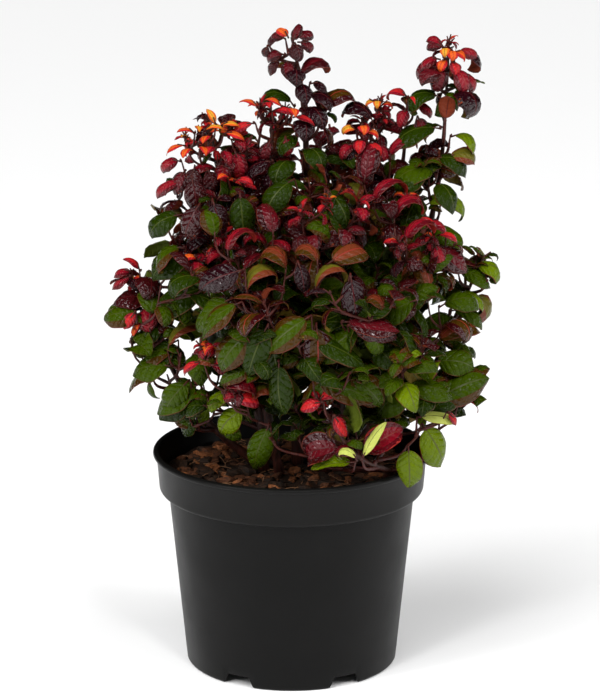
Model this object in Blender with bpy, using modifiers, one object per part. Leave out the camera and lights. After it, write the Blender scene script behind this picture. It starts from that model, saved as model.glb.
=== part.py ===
"""A curly red leucothoe, a small evergreen shrub, in a black nursery pot.

Metres, +Z up. The plant's show side faces -Y. The origin is at floor level under the middle
of the whole plant's box. The sizes below are measured from the pot's axis, and everything
moves over at the end. The crown is a set of leafy masses that meet with a fine gap, carried
by stems that rise from the growing medium.
"""

import math
from collections import namedtuple

import bmesh
import bpy
from mathutils import Vector, noise

# Fine gap between pieces that touch on the real plant
GAP = 0.0003
# Wider where a facet of a round piece comes nearer than its corners
MEDIUM_GAP = 0.00045
TRIM_GAP = 0.00048

# Corners nearer than this are one
MERGE_DISTANCE = 0.00001
# Below this a length or a slope counts as nothing
TINY = 1e-6

# Pot: a 3 litre container
POT_HEIGHT = 0.150
LIP_RADIUS = 0.095
LIP_HEIGHT = 0.0036
COLLAR_TOP_RADIUS = 0.0925
COLLAR_BOTTOM_RADIUS = 0.0908
COLLAR_DEPTH = 0.028
COLLAR_ROUNDING = 0.0022
BODY_TOP_RADIUS = 0.0845
BASE_RADIUS = 0.0725
WALL = 0.0016
SKIRT = 0.0026
FLOOR_THICKNESS = 0.0020
POT_STEPS = 48

# Foot of the pot: a notched skirt round a raised floor
FLOOR_RAISE = 0.0085
NOTCH_HEIGHT = 0.0072
NOTCH_WIDTH_BOTTOM = 0.0295
NOTCH_WIDTH_TOP = 0.0165
NOTCH_COUNT = 6
NOTCH_REACH = 0.0156
DRAIN_RADIUS = 0.0045
DRAIN_SIDES = 12
DRAIN_CUT_DEPTH = 0.0080
DRAIN_RING = 0.054
# Keeps the corners of a hole off the edges of the pot's own facets
DRAIN_TURN = math.radians(8)

# Growing medium
MEDIUM_TOP = POT_HEIGHT - 0.013

# Masses of foliage
MASS_GAP = 0.0004
MASS_FLOOR = POT_HEIGHT + 0.0015
LUMP = 0.24
LUMP_FREQUENCY = 2.1
# Carries each mass to its own part of the noise
LUMP_STRIDE = 40
MASS_SUBDIVISIONS = 3

# Stems
STEM_SIDES_RESOLUTION = 2
STEM_POINTS = 7
FINE_POINTS = 161
SINK = 0.004
FLARE = 1.7
FLARE_HEIGHT = 0.006
# A short upright start keeps the foot's cut level
FOOT_HEIGHT = 0.0008

Mass = namedtuple("Mass", "name centre half colour")
Stem = namedtuple("Stem", "name foot into lean radius tip_radius")
Bough = namedtuple("Bough", "name leaves enters sag radius tip_radius")

MAROON = (0.09, 0.012, 0.02)
BRONZE = (0.10, 0.05, 0.02)
GREEN = (0.05, 0.11, 0.02)
RED = (0.40, 0.02, 0.03)

# Each mass: its middle and its half size across, deep and high
MASSES = (
    Mass("foliage_spire_left", (0.001, 0.012, 0.382), (0.028, 0.028, 0.064), MAROON),
    Mass("foliage_spire_right", (0.098, 0.014, 0.376), (0.031, 0.030, 0.062), MAROON),
    Mass("foliage_upper_left", (-0.050, 0.004, 0.340), (0.037, 0.038, 0.049), MAROON),
    Mass("foliage_upper_middle", (0.057, 0.018, 0.345), (0.034, 0.034, 0.046), MAROON),
    Mass("foliage_upper_back", (0.000, 0.062, 0.322), (0.052, 0.038, 0.050), MAROON),
    Mass("foliage_crown_front", (0.008, -0.034, 0.304), (0.052, 0.044, 0.044), MAROON),
    Mass("foliage_middle_left", (-0.060, -0.018, 0.274), (0.040, 0.048, 0.044), BRONZE),
    Mass("foliage_middle_right", (0.080, -0.022, 0.276), (0.046, 0.048, 0.046), BRONZE),
    Mass("foliage_middle_back_left", (-0.052, 0.062, 0.260), (0.044, 0.048, 0.048), BRONZE),
    Mass("foliage_middle_back_right", (0.066, 0.066, 0.264), (0.050, 0.048, 0.050), BRONZE),
    Mass("foliage_heart", (0.004, 0.016, 0.250), (0.056, 0.052, 0.056), BRONZE),
    Mass("foliage_side_left", (-0.102, -0.004, 0.234), (0.021, 0.028, 0.046), RED),
    Mass("foliage_side_right", (0.126, 0.002, 0.264), (0.022, 0.026, 0.030), RED),
    Mass("foliage_front_left", (-0.020, -0.062, 0.232), (0.044, 0.036, 0.050), GREEN),
    Mass("foliage_front_right", (0.052, -0.062, 0.226), (0.046, 0.036, 0.056), GREEN),
    Mass("foliage_low_left", (-0.042, -0.024, 0.194), (0.038, 0.044, 0.040), GREEN),
    Mass("foliage_low_right", (0.092, -0.020, 0.198), (0.040, 0.044, 0.046), GREEN),
    Mass("foliage_low_front", (0.034, -0.056, 0.168), (0.038, 0.024, 0.020), RED),
    Mass("foliage_low_back_left", (-0.044, 0.054, 0.196), (0.046, 0.044, 0.044), GREEN),
    Mass("foliage_low_back_right", (0.052, 0.056, 0.196), (0.050, 0.044, 0.044), GREEN),
)

# Each stem rises from the medium into a mass: its foot, and how far it bows out on the way
STEMS = (
    Stem("stem_main", (0.004, 0.006), "foliage_heart", 0.004, 0.0038, 0.0032),
    Stem("stem_front_left", (-0.008, -0.014), "foliage_front_left", 0.010, 0.0028, 0.0022),
    Stem("stem_front_right", (0.022, -0.012), "foliage_front_right", 0.008, 0.0028, 0.0022),
    Stem("stem_low_left", (-0.018, -0.004), "foliage_low_left", 0.006, 0.0026, 0.0021),
    Stem("stem_low_right", (0.034, 0.000), "foliage_low_right", 0.010, 0.0028, 0.0022),
    Stem("stem_low_front", (0.064, -0.020), "foliage_low_front", 0.006, 0.0020, 0.0016),
    Stem("stem_back_left", (-0.014, 0.022), "foliage_low_back_left", 0.008, 0.0028, 0.0022),
    Stem("stem_back_right", (0.020, 0.024), "foliage_low_back_right", 0.008, 0.0028, 0.0022),
)

# Each bough spans the open gap between two masses
BOUGHS = (
    Bough(
        "bough_side_left",
        "foliage_low_left",
        "foliage_side_left",
        (-0.014, -0.002, -0.034),
        0.0024,
        0.0019,
    ),
    Bough(
        "bough_side_right",
        "foliage_low_right",
        "foliage_side_right",
        (0.026, 0.004, -0.010),
        0.0022,
        0.0017,
    ),
)


def clear_scene():
    """Removes the objects of the start-up scene."""
    for old in list(bpy.data.objects):
        bpy.data.objects.remove(old)


def new_collection(name, hidden=False):
    made = bpy.data.collections.new(name)
    made.hide_render = hidden
    bpy.context.scene.collection.children.link(made)
    return made


def material(name, colour, roughness):
    made = bpy.data.materials.new(name)
    made.use_nodes = True
    shader = made.node_tree.nodes["Principled BSDF"]
    shader.inputs["Base Color"].default_value = (*colour, 1)
    shader.inputs["Roughness"].default_value = roughness
    shader.inputs["Metallic"].default_value = 0
    return made


def add_object(name, data, collection, finish=None):
    made = bpy.data.objects.new(name, data)
    collection.objects.link(made)
    if finish:
        made.data.materials.append(finish)
    return made


def turned(name, profile, collection, finish):
    """A solid of revolution about Z. The profile runs from the axis up the inside, over the
    top, down the outside and back to the axis."""
    mesh = bpy.data.meshes.new(name)
    points = [(radius, 0, height) for radius, height in profile]
    mesh.from_pydata(points, [(i, i + 1) for i in range(len(points) - 1)], [])
    made = add_object(name, mesh, collection, finish)
    screw = made.modifiers.new("Turn", "SCREW")
    screw.steps = screw.render_steps = POT_STEPS
    screw.use_merge_vertices = True
    screw.merge_threshold = MERGE_DISTANCE
    screw.use_smooth_shade = False
    return made


def body_radius(height):
    """Outer radius of the pot's body at a height above the ground."""
    share = height / (POT_HEIGHT - COLLAR_DEPTH)
    return BASE_RADIUS + (BODY_TOP_RADIUS - BASE_RADIUS) * share


def pot_profile():
    floor_top = FLOOR_RAISE + FLOOR_THICKNESS
    collar_bottom = POT_HEIGHT - COLLAR_DEPTH
    lip_bottom = POT_HEIGHT - LIP_HEIGHT
    shoulder = collar_bottom + COLLAR_ROUNDING
    return [
        (0, floor_top),
        (body_radius(floor_top) - WALL, floor_top),
        (body_radius(collar_bottom) - WALL, shoulder),
        (COLLAR_BOTTOM_RADIUS - WALL, shoulder + WALL),
        (COLLAR_TOP_RADIUS - WALL, POT_HEIGHT),
        (LIP_RADIUS - LIP_HEIGHT / 4, POT_HEIGHT),
        (LIP_RADIUS, POT_HEIGHT - LIP_HEIGHT / 3),
        (LIP_RADIUS, lip_bottom + LIP_HEIGHT / 3),
        (COLLAR_TOP_RADIUS, lip_bottom),
        (COLLAR_BOTTOM_RADIUS, shoulder),
        (COLLAR_BOTTOM_RADIUS - COLLAR_ROUNDING, collar_bottom),
        (body_radius(collar_bottom), collar_bottom),
        (BASE_RADIUS, 0),
        (BASE_RADIUS - SKIRT, 0),
        (BASE_RADIUS - SKIRT, FLOOR_RAISE),
        (0, FLOOR_RAISE),
    ]


def notch_cutter(name, angle, collection):
    """A block, narrower at its top, that cuts one gap in the pot's skirt."""
    mesh = bpy.data.meshes.new(name)
    shape = bmesh.new()
    bmesh.ops.create_cube(shape, size=1)
    for corner in shape.verts:
        high = corner.co.z > 0
        width = NOTCH_WIDTH_TOP if high else NOTCH_WIDTH_BOTTOM
        corner.co = (
            BASE_RADIUS - SKIRT / 2 + corner.co.x * NOTCH_REACH,
            corner.co.y * width,
            NOTCH_HEIGHT if high else -NOTCH_HEIGHT,
        )
    shape.to_mesh(mesh)
    shape.free()
    made = add_object(name, mesh, collection)
    made.rotation_euler.z = angle
    return made


def drain_cutter(name, angle, collection):
    mesh = bpy.data.meshes.new(name)
    shape = bmesh.new()
    bmesh.ops.create_cone(
        shape,
        cap_ends=True,
        segments=DRAIN_SIDES,
        radius1=DRAIN_RADIUS,
        radius2=DRAIN_RADIUS,
        depth=DRAIN_CUT_DEPTH,
    )
    shape.to_mesh(mesh)
    shape.free()
    made = add_object(name, mesh, collection)
    made.location = (
        DRAIN_RING * math.cos(angle),
        DRAIN_RING * math.sin(angle),
        FLOOR_RAISE + FLOOR_THICKNESS / 2,
    )
    made.rotation_euler.z = angle + DRAIN_TURN
    return made


def cut(target, cutter):
    cutter.hide_render = True
    cutter.display_type = "WIRE"
    modifier = target.modifiers.new("Cut " + cutter.name, "BOOLEAN")
    modifier.operation = "DIFFERENCE"
    modifier.object = cutter


def make_pot(parts, cutters):
    pot = turned("pot", pot_profile(), parts, material("black_plastic", (0.02, 0.02, 0.022), 0.42))
    for number in range(NOTCH_COUNT):
        angle = 2 * math.pi * number / NOTCH_COUNT
        cut(pot, notch_cutter(f"notch_{number}", angle, cutters))
        cut(pot, drain_cutter(f"drain_{number}", angle, cutters))


def make_medium(parts):
    """The growing medium fills the pot to just below its lip."""
    bottom = FLOOR_RAISE + FLOOR_THICKNESS + GAP
    shoulder = POT_HEIGHT - COLLAR_DEPTH + COLLAR_ROUNDING
    wide = shoulder + WALL + GAP
    share = (MEDIUM_TOP - wide) / (POT_HEIGHT - wide)
    top_radius = COLLAR_BOTTOM_RADIUS + (COLLAR_TOP_RADIUS - COLLAR_BOTTOM_RADIUS) * share
    profile = [
        (0, MEDIUM_TOP),
        (top_radius - WALL - MEDIUM_GAP, MEDIUM_TOP),
        (COLLAR_BOTTOM_RADIUS - WALL - MEDIUM_GAP, wide),
        (body_radius(POT_HEIGHT - COLLAR_DEPTH) - WALL - MEDIUM_GAP, shoulder + GAP),
        (body_radius(FLOOR_RAISE) - WALL - MEDIUM_GAP, bottom),
        (0, bottom),
    ]
    turned("growing_medium", profile, parts, material("bark_compost", (0.05, 0.025, 0.015), 0.95))


def mean_radius(mass):
    return sum(mass.half) / 3


def walls_of(mass):
    """Planes that part this mass from its neighbours and from the pot below it. Each is a
    unit normal and its distance from the mass's middle."""
    middle = Vector(mass.centre)
    found = [(Vector((0, 0, -1)), middle.z - MASS_FLOOR)]
    for other in MASSES:
        if other is mass:
            continue
        apart = Vector(other.centre) - middle
        weight = mean_radius(mass) ** 2 - mean_radius(other) ** 2
        reach = (apart.length_squared + weight) / (2 * apart.length)
        found.append((apart.normalized(), reach - MASS_GAP / 2))
    return found


def mass_reach(mass, way):
    """How far a mass reaches from its middle along a unit direction."""
    stretched = Vector([way[i] / mass.half[i] for i in range(3)])
    lumps = noise.noise(way * LUMP_FREQUENCY + Vector(mass.centre) * LUMP_STRIDE)
    reach = (1 + LUMP * lumps) / stretched.length
    for normal, distance in walls_of(mass):
        towards = way.dot(normal)
        if towards > TINY:
            reach = min(reach, distance / towards)
    return reach


def depth_inside(mass, place):
    """How deep a point lies in a mass, below zero outside it."""
    offset = place - Vector(mass.centre)
    if offset.length < TINY:
        return min(mass.half)
    return mass_reach(mass, offset.normalized()) - offset.length


def mass_mesh(mass, name, swell=0.0):
    """A lumpy egg that stops at the walls towards its neighbours. swell moves it outwards."""
    shape = bmesh.new()
    bmesh.ops.create_icosphere(shape, subdivisions=MASS_SUBDIVISIONS, radius=1)
    middle = Vector(mass.centre)
    for point in shape.verts:
        way = point.co.normalized()
        point.co = middle + way * (mass_reach(mass, way) + swell)
    mesh = bpy.data.meshes.new(name)
    shape.to_mesh(mesh)
    shape.free()
    return mesh


def make_masses(parts, cutters):
    """Makes the masses, and for each a cutter a gap larger, which trims the stems."""
    trimmers = {}
    for mass in MASSES:
        finish = material(mass.name + "_leaves", mass.colour, 0.45)
        add_object(mass.name, mass_mesh(mass, mass.name), parts, finish)
        label = "trim_" + mass.name
        trimmers[mass.name] = add_object(label, mass_mesh(mass, label, TRIM_GAP), cutters)
    return trimmers


def curve_points(corners, count):
    """Evenly stepped points on the Bezier curve with these four corners."""
    a, b, c, d = (Vector(corner) for corner in corners)
    points = []
    for step in range(count):
        t = step / (count - 1)
        s = 1 - t
        points.append(a * s**3 + b * 3 * s * s * t + c * 3 * s * t * t + d * t**3)
    return points


def first_entry(points):
    """The index of the first point that is well inside a mass."""
    for index, place in enumerate(points):
        if any(depth_inside(mass, place) > SINK for mass in MASSES):
            return index
    return len(points) - 1


def thinned(points):
    """Evenly picks the few points that a limb is drawn through."""
    last = len(points) - 1
    return [points[round(last * step / (STEM_POINTS - 1))] for step in range(STEM_POINTS)]


def limb(name, points, radius, tip_radius, flared, collection, finish):
    """One tapering limb along a row of points, as a closed mesh."""
    data = bpy.data.curves.new(name + "_line", "CURVE")
    data.dimensions = "3D"
    data.bevel_depth = 1
    data.bevel_resolution = STEM_SIDES_RESOLUTION
    data.use_fill_caps = True
    if flared:
        points = [points[0], points[0] + Vector((0, 0, FOOT_HEIGHT)), *points[1:]]
    line = data.splines.new("POLY")
    line.points.add(len(points) - 1)
    for index, (point, place) in enumerate(zip(line.points, points)):
        share = index / (len(points) - 1)
        point.co = (*place, 1)
        point.radius = radius + (tip_radius - radius) * share
        if flared:
            rise = place.z - points[0].z
            point.radius *= 1 + (FLARE - 1) * max(0, 1 - rise / FLARE_HEIGHT)
    guide = add_object(name + "_line", data, collection)
    graph = bpy.context.evaluated_depsgraph_get()
    mesh = bpy.data.meshes.new_from_object(guide.evaluated_get(graph))
    shape = bmesh.new()
    shape.from_mesh(mesh)
    bmesh.ops.remove_doubles(shape, verts=shape.verts, dist=MERGE_DISTANCE)
    shape.to_mesh(mesh)
    shape.free()
    made = add_object(name, mesh, collection, finish)
    made.matrix_world = guide.matrix_world
    bpy.data.objects.remove(guide)
    return made


def trim(made, points, trimmers):
    """Ends a limb a fine gap short of the masses that it runs into."""
    for mass in MASSES:
        if max(depth_inside(mass, place) for place in points) > -SINK * 2:
            cut(made, trimmers[mass.name])


def make_stems(parts, trimmers, finish):
    """Stems rise straight from a flat cut at the medium, bow outwards and end in a mass."""
    places = {mass.name: Vector(mass.centre) for mass in MASSES}
    for stem in STEMS:
        foot = Vector((*stem.foot, MEDIUM_TOP + GAP))
        end = places[stem.into]
        outward = Vector((end.x - foot.x, end.y - foot.y, 0)).normalized()
        rise = Vector((0, 0, (end.z - foot.z) / 3))
        fine = curve_points([foot, foot + rise, end - rise + outward * stem.lean, end], FINE_POINTS)
        points = thinned(fine[: first_entry(fine) + 1])
        made = limb(stem.name, points, stem.radius, stem.tip_radius, True, parts, finish)
        trim(made, points, trimmers)


def make_boughs(parts, trimmers, finish):
    places = {mass.name: Vector(mass.centre) for mass in MASSES}
    for bough in BOUGHS:
        start = places[bough.leaves]
        end = places[bough.enters]
        sag = Vector(bough.sag)
        corners = [start, start.lerp(end, 1 / 3) + sag, start.lerp(end, 2 / 3) + sag, end]
        fine = curve_points(corners, FINE_POINTS)
        middle = FINE_POINTS // 2
        before = fine[middle::-1]
        after = fine[middle:]
        first = middle - first_entry(before)
        last = middle + first_entry(after)
        points = thinned(fine[first : last + 1])
        made = limb(bough.name, points, bough.radius, bough.tip_radius, False, parts, finish)
        trim(made, points, trimmers)


def centre_on_origin(collections, parts):
    """Moves everything over so that the middle of the whole plant's box is above the origin.
    Only the pot's lip and the masses reach its sides."""
    spans = [[-LIP_RADIUS, LIP_RADIUS], [-LIP_RADIUS, LIP_RADIUS]]
    for made in parts.objects:
        if made.name.startswith("foliage"):
            for point in made.data.vertices:
                for axis, span in enumerate(spans):
                    span[0] = min(span[0], point.co[axis])
                    span[1] = max(span[1], point.co[axis])
    for collection in collections:
        for made in collection.objects:
            made.location.x -= sum(spans[0]) / 2
            made.location.y -= sum(spans[1]) / 2


def main():
    clear_scene()
    parts = new_collection("potted_leucothoe")
    cutters = new_collection("cutters", hidden=True)
    make_pot(parts, cutters)
    make_medium(parts)
    trimmers = make_masses(parts, cutters)
    bark = material("red_brown_bark", (0.16, 0.03, 0.02), 0.55)
    make_stems(parts, trimmers, bark)
    make_boughs(parts, trimmers, bark)
    centre_on_origin([parts, cutters], parts)


main()
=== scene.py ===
"""The looks of a potted curly red leucothoe: its pot, compost, stems and curled leaves.

Everything is in metres. The plant is drawn round the pot's axis, with its show side towards
-Y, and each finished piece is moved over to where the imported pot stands.
"""

import math
import random
from collections import namedtuple

import bpy
import numpy as np
from mathutils import Matrix, Vector, noise


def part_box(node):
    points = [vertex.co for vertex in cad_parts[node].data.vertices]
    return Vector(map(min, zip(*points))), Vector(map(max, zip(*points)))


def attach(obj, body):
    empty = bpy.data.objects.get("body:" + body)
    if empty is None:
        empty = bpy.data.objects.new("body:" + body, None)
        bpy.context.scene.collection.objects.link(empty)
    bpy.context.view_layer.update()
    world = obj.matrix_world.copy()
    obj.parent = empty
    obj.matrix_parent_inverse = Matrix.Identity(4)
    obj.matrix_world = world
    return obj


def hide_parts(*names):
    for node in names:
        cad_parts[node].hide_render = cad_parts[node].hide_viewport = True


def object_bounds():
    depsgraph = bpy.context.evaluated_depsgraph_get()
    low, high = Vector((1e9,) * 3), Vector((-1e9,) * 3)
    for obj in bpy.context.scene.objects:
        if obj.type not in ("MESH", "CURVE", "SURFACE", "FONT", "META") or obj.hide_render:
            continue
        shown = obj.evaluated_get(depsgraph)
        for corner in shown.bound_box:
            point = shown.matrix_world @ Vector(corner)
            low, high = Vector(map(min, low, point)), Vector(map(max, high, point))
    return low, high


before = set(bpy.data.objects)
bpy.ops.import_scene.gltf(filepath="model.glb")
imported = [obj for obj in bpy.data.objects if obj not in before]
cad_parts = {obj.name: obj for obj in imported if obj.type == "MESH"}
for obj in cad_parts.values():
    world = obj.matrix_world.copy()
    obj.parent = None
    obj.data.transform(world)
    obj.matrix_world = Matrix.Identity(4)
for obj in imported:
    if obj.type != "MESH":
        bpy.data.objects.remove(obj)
cad_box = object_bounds()

SEED = 7
dice = random.Random(SEED)
noise.seed_set(SEED)

# The pot's axis and main sizes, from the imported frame
POT_LOW, POT_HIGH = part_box("pot")
AXIS = Vector(((POT_LOW.x + POT_HIGH.x) / 2, (POT_LOW.y + POT_HIGH.y) / 2, 0))
POT_HEIGHT = POT_HIGH.z
LIP_RADIUS = (POT_HIGH.x - POT_LOW.x) / 2
SOIL_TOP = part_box("growing_medium")[1].z

# Pot
LIP_HEIGHT = 0.0036
COLLAR_TOP_RADIUS = LIP_RADIUS - 0.0025
COLLAR_BOTTOM_RADIUS = LIP_RADIUS - 0.0042
COLLAR_DEPTH = 0.028
COLLAR_ROUNDING = 0.0030
BODY_TOP_RADIUS = 0.0845
BASE_RADIUS = 0.0725
WALL = 0.0016
SKIRT = 0.0026
FLOOR_RAISE = 0.0085
FLOOR_THICKNESS = 0.0020
NOTCH_HEIGHT = 0.0078
NOTCH_WIDTH_BOTTOM = 0.0295
NOTCH_WIDTH_TOP = 0.0165
NOTCH_COUNT = 6
DRAIN_RADIUS = 0.0045
DRAIN_RING = 0.054
POT_STEPS = 144

# Compost
SOIL_RADIUS = 0.0885
SOIL_ROUGHNESS = 0.0032
SOIL_SINK = 0.0035
SOIL_SKIRT = 0.009
SOIL_RINGS = 46
SOIL_SPOKES = 120
CHIP_COUNT = 620
CHIP_REACH = 0.955
CHIP_LENGTH = (0.004, 0.015)
CHIP_WIDTH = (0.26, 0.48)
CHIP_THICKNESS = (0.12, 0.26)
CHIP_RISE = 0.004
FIBRE_COUNT = 150
FIBRE_REACH = 0.86
FIBRE_LENGTH = (0.010, 0.030)
FIBRE_RADIUS = 0.00022
FIBRE_STEPS = 5

# Leaf: its rows from petiole to tip, and the columns of its top and underside, margin to margin
LEAF_ROWS = 7
SHOWN_ROWS = 12
TOP_COLUMNS = np.array((-1, -0.94, -0.5, -0.04, 0.04, 0.5, 0.94, 1))
UNDER_COLUMNS = np.array((-0.5, -0.04, 0.04, 0.5))
LEAF_LENGTH = 0.048
LEAF_THICKNESS = 0.04
MARGIN_RIPPLE = 0.045
MIDRIB_CREASE = 0.022
SIDE_VEINS = 7
VEIN_LEAN = 1.4
WRINKLES = (15, 26, 0)

# A leaf's stalk and the bud above it. A leaf shorter than the second size has a shorter stalk
PETIOLE_LENGTH = 0.0045
PETIOLE_LEAF = 0.036
PETIOLE_RADIUS = 0.0008
BUD_LENGTH = 0.0030
BUD_SHARE = 0.35
BUD_RADII = (0.0007, 0.0010, 0.0002)

# Shoots: how thick they are, where they fork and how closely their tips stand
STEM_SIDES = 9
STEM_TIP_RADIUS = 0.0008
TWIG_SIDES = 6
TWIG_RADIUS = 0.0013
TWIG_TIP_RADIUS = 0.0005
LOWEST_FORK = 0.010
LEAST_RISE = 0.012
FORK_SLOPE = 0.75
FORK_STIFFNESS = 0.7
TIP_SPACING = 0.0172
FILLING = 92000
MASS_TRIES = 400
INNER_SHOOTS = 34
REACH_OF_STALK = 0.004

# Leaves along a shoot: its leafy share, the stretches over which they grow up and turn colour,
# the warmth from which a tip is bright, and how the bare upper stems of the spires are thinned
LEAFY_SHARE = 0.88
LEAF_SPACING = 0.0088
GOLDEN_ANGLE = math.radians(137.5)
YOUNG_STRETCH = 0.045
TURNING_STRETCH = 0.050
BRIGHT_TIP = 0.74
BRIGHT_SHARE = 0.72
ROSETTE_LEAVES = 7
SPIRE_FOOT = 0.345
SPIRE_THINNING = 2.4

# Where the seeded leaves may not stand: past the imported box, low over the compost, or in front
# of a listed leaf. A side shoot that loses most of its leaves is left out
BOX_MARGIN = 0.006
WALL_CLEARANCE = 0.004
LIP_CLEARANCE = 0.002
SOIL_CLEARANCE = 0.001
LOW_EDGE = 0.010
LOW_EDGE_RISE = 0.16
SIGHT_SHARE = 0.13
BARE_SHARE = 0.45

# Camera, fitted to the pot's lip, collar and foot in the photograph
CAMERA_DISTANCE = 2.0
CAMERA_HEIGHT = 0.7655
CAMERA_PITCH = math.radians(15.27)
CAMERA_LENS = 156.8
CAMERA_SENSOR = 36.0
CAMERA_SHIFT = 0.0121

# The same camera in points of a picture 600 wide and 700 high, and the openings where the
# photograph shows sky through the crown or beside it: across, down, and half as wide
PICTURE_LENS = 3049
PICTURE_MIDDLE = (291.5, 350)
SKY_GAPS = (
    (238, 62, 26), (232, 98, 9), (276, 44, 2), (262, 58, 4), (308, 53, 3), (340, 60, 14),
    (336, 84, 5), (326, 122, 5), (368, 68, 26), (403, 62, 14), (360, 98, 9), (340, 112, 4),
    (398, 112, 2), (440, 90, 2), (490, 100, 8), (175, 112, 12), (181, 170, 7), (170, 196, 3),
    (262, 140, 3), (474, 150, 4), (460, 172, 4), (438, 185, 5), (480, 185, 9), (450, 208, 4),
    (462, 221, 8), (484, 226, 9), (480, 288, 5), (464, 320, 6), (480, 334, 10), (160, 270, 5),
    (172, 276, 5), (179, 294, 3), (162, 301, 3), (188, 350, 4), (181, 372, 4), (213, 382, 6),
    (160, 388, 6), (161, 358, 3), (168, 384, 3), (153, 382, 3), (166, 282, 4), (442, 220, 5),
    (443, 185, 4), (472, 205, 4), (455, 240, 3), (147, 404, 7), (120, 372, 9), (114, 388, 9),
    (102, 318, 6), (110, 331, 7), (509, 279, 7), (500, 381, 8), (513, 300, 9), (518, 262, 9),
    (150, 236, 8), (146, 222, 6),
)

# Studio: suns by the direction that they shine from and their strength, softboxes by where they
# stand, their width and height, and their watts
WORLD_STRENGTH = 0.20
SUN_ANGLE = math.radians(50)
SUNS = {
    "sun_left": ((-0.50, -0.55, 1.0), 2.25),
    "sun_right": ((0.75, -0.30, 1.0), 1.1),
}
SOFTBOXES = {
    "left": ((-1.3, -0.9, 0.9), (0.3, 1.0), 8),
    "right": ((1.5, -0.5, 0.8), (0.25, 1.0), 7),
    "front_high": ((0.5, -1.4, 1.6), (0.3, 0.3), 10),
    "front_left": ((-0.9, -1.5, 1.3), (0.3, 0.3), 10),
}
SOFTBOX_AIM = Vector((0, 0, 0.22))

FOLIAGE = sorted(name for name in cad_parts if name.startswith("foliage"))
LIMBS = sorted(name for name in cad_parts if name.startswith(("stem", "bough")))

# Where each mass of foliage is: the middle and half the sides of its box
MASS_BOXES = {}
for foliage in FOLIAGE:
    lowest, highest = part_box(foliage)
    MASS_BOXES[foliage] = ((lowest + highest) / 2 - AXIS, (highest - lowest) / 2)

# What a leaf of each tint wears: the tints of its top beside the midrib, its top towards the
# edges, its underside, its margin and its midrib. Then the parts in that order, each with the
# kind of material that it takes
WEAR = {
    "deep_green": ("deep_green", "deep_green", "sage", "bronze", "green"),
    "green": ("green", "green", "sage", "bronze", "green"),
    "light_green": ("light_green", "light_green", "sage", "red", "pale"),
    "flushed": ("green", "bronze", "olive", "red", "green"),
    "bronze": ("bronze", "maroon", "olive", "red", "red"),
    "maroon": ("maroon", "maroon", "terracotta", "dark", "dark"),
    "purple": ("purple", "purple", "terracotta", "dark", "dark"),
    "wine": ("wine", "maroon", "terracotta", "red", "dark"),
    "crimson": ("crimson", "wine", "rose", "red", "red"),
    "red": ("red", "crimson", "rose", "red", "red"),
    "orange": ("orange", "red", "amber", "red", "red"),
    "yellow": ("yellow", "orange", "amber", "red", "pale"),
    "lime": ("lime", "lime", "pale", "red", "pale"),
    "arched": ("terracotta", "bronze", "terracotta", "red", "red"),
    # Its olive top is partly a turning tint and partly a painted highlight
    "arched_lime": ("olive", "terracotta", "olive", "red", "pale"),
}
LEAF_PARTS = {"top": "top", "edge": "top", "under": "under", "margin": "margin", "midrib": "midrib"}
MATURE_TINTS = ("green", "deep_green", "light_green", "flushed")
BRIGHT_TINTS = ("orange", "yellow", "red")

# The tints that a leaf may wear up to each stage, from old and green to the brightest tips,
# with how often each comes
TINTS = (
    (0.08, {"deep_green": 6, "green": 5, "light_green": 2}),
    (0.22, {"green": 4, "deep_green": 5, "light_green": 2, "flushed": 3}),
    (0.34, {"flushed": 5, "green": 4, "deep_green": 3, "bronze": 1, "arched_lime": 1}),
    (0.46, {"bronze": 4, "deep_green": 4, "flushed": 3, "maroon": 2, "arched_lime": 1, "arched": 1}),
    (0.58, {"maroon": 5, "purple": 3, "bronze": 1, "deep_green": 4, "arched": 1}),
    (0.72, {"maroon": 5, "purple": 3, "wine": 3, "deep_green": 1}),
    (0.84, {"wine": 4, "maroon": 3, "crimson": 2}),
    (0.97, {"crimson": 5, "wine": 3, "red": 1}),
    (1.10, {"red": 5, "crimson": 2, "orange": 2}),
    (9.00, {"orange": 5, "red": 4, "yellow": 2}),
)

# A shoot: its path and radii, whether leaves grow along it, how far its tip has turned from green
# (0) to bright red (1), the size of its leaves, how much longer its old leaves stay green, and
# whether it is a main stem
Shoot = namedtuple("Shoot", "path radii leafy warmth size green lead")

# A leaf: where it grows from, along which way, where its top faces, its size, how far it bends
# over and how much of that comes early, how far its sides roll down, its twist, the phase of its
# margin's ripple, its tint and its rows of faces
Leaf = namedtuple("Leaf", "place along up length width bend early roll twist wave tint rows")

# How mature leaves and young ones grow: how far they lean out from the stem in degrees, their
# pull towards the light, their length, the ranges of their bend, early bend and roll, how much
# of the bend comes with age, how many roll down, and how far the others roll up
Habit = namedtuple("Habit", "spread lift length bend early roll unfolding rolled_down rolled_up")
MATURE = Habit(42, 0.6, 1.0, (80, 200), (0.3, 0.7), (80, 165), 0, 0.88, -0.5)
YOUNG = Habit(26, 0.15, 1.12, (150, 270), (0.55, 1.0), (50, 140), 0.3, 0.85, -0.7)

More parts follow.
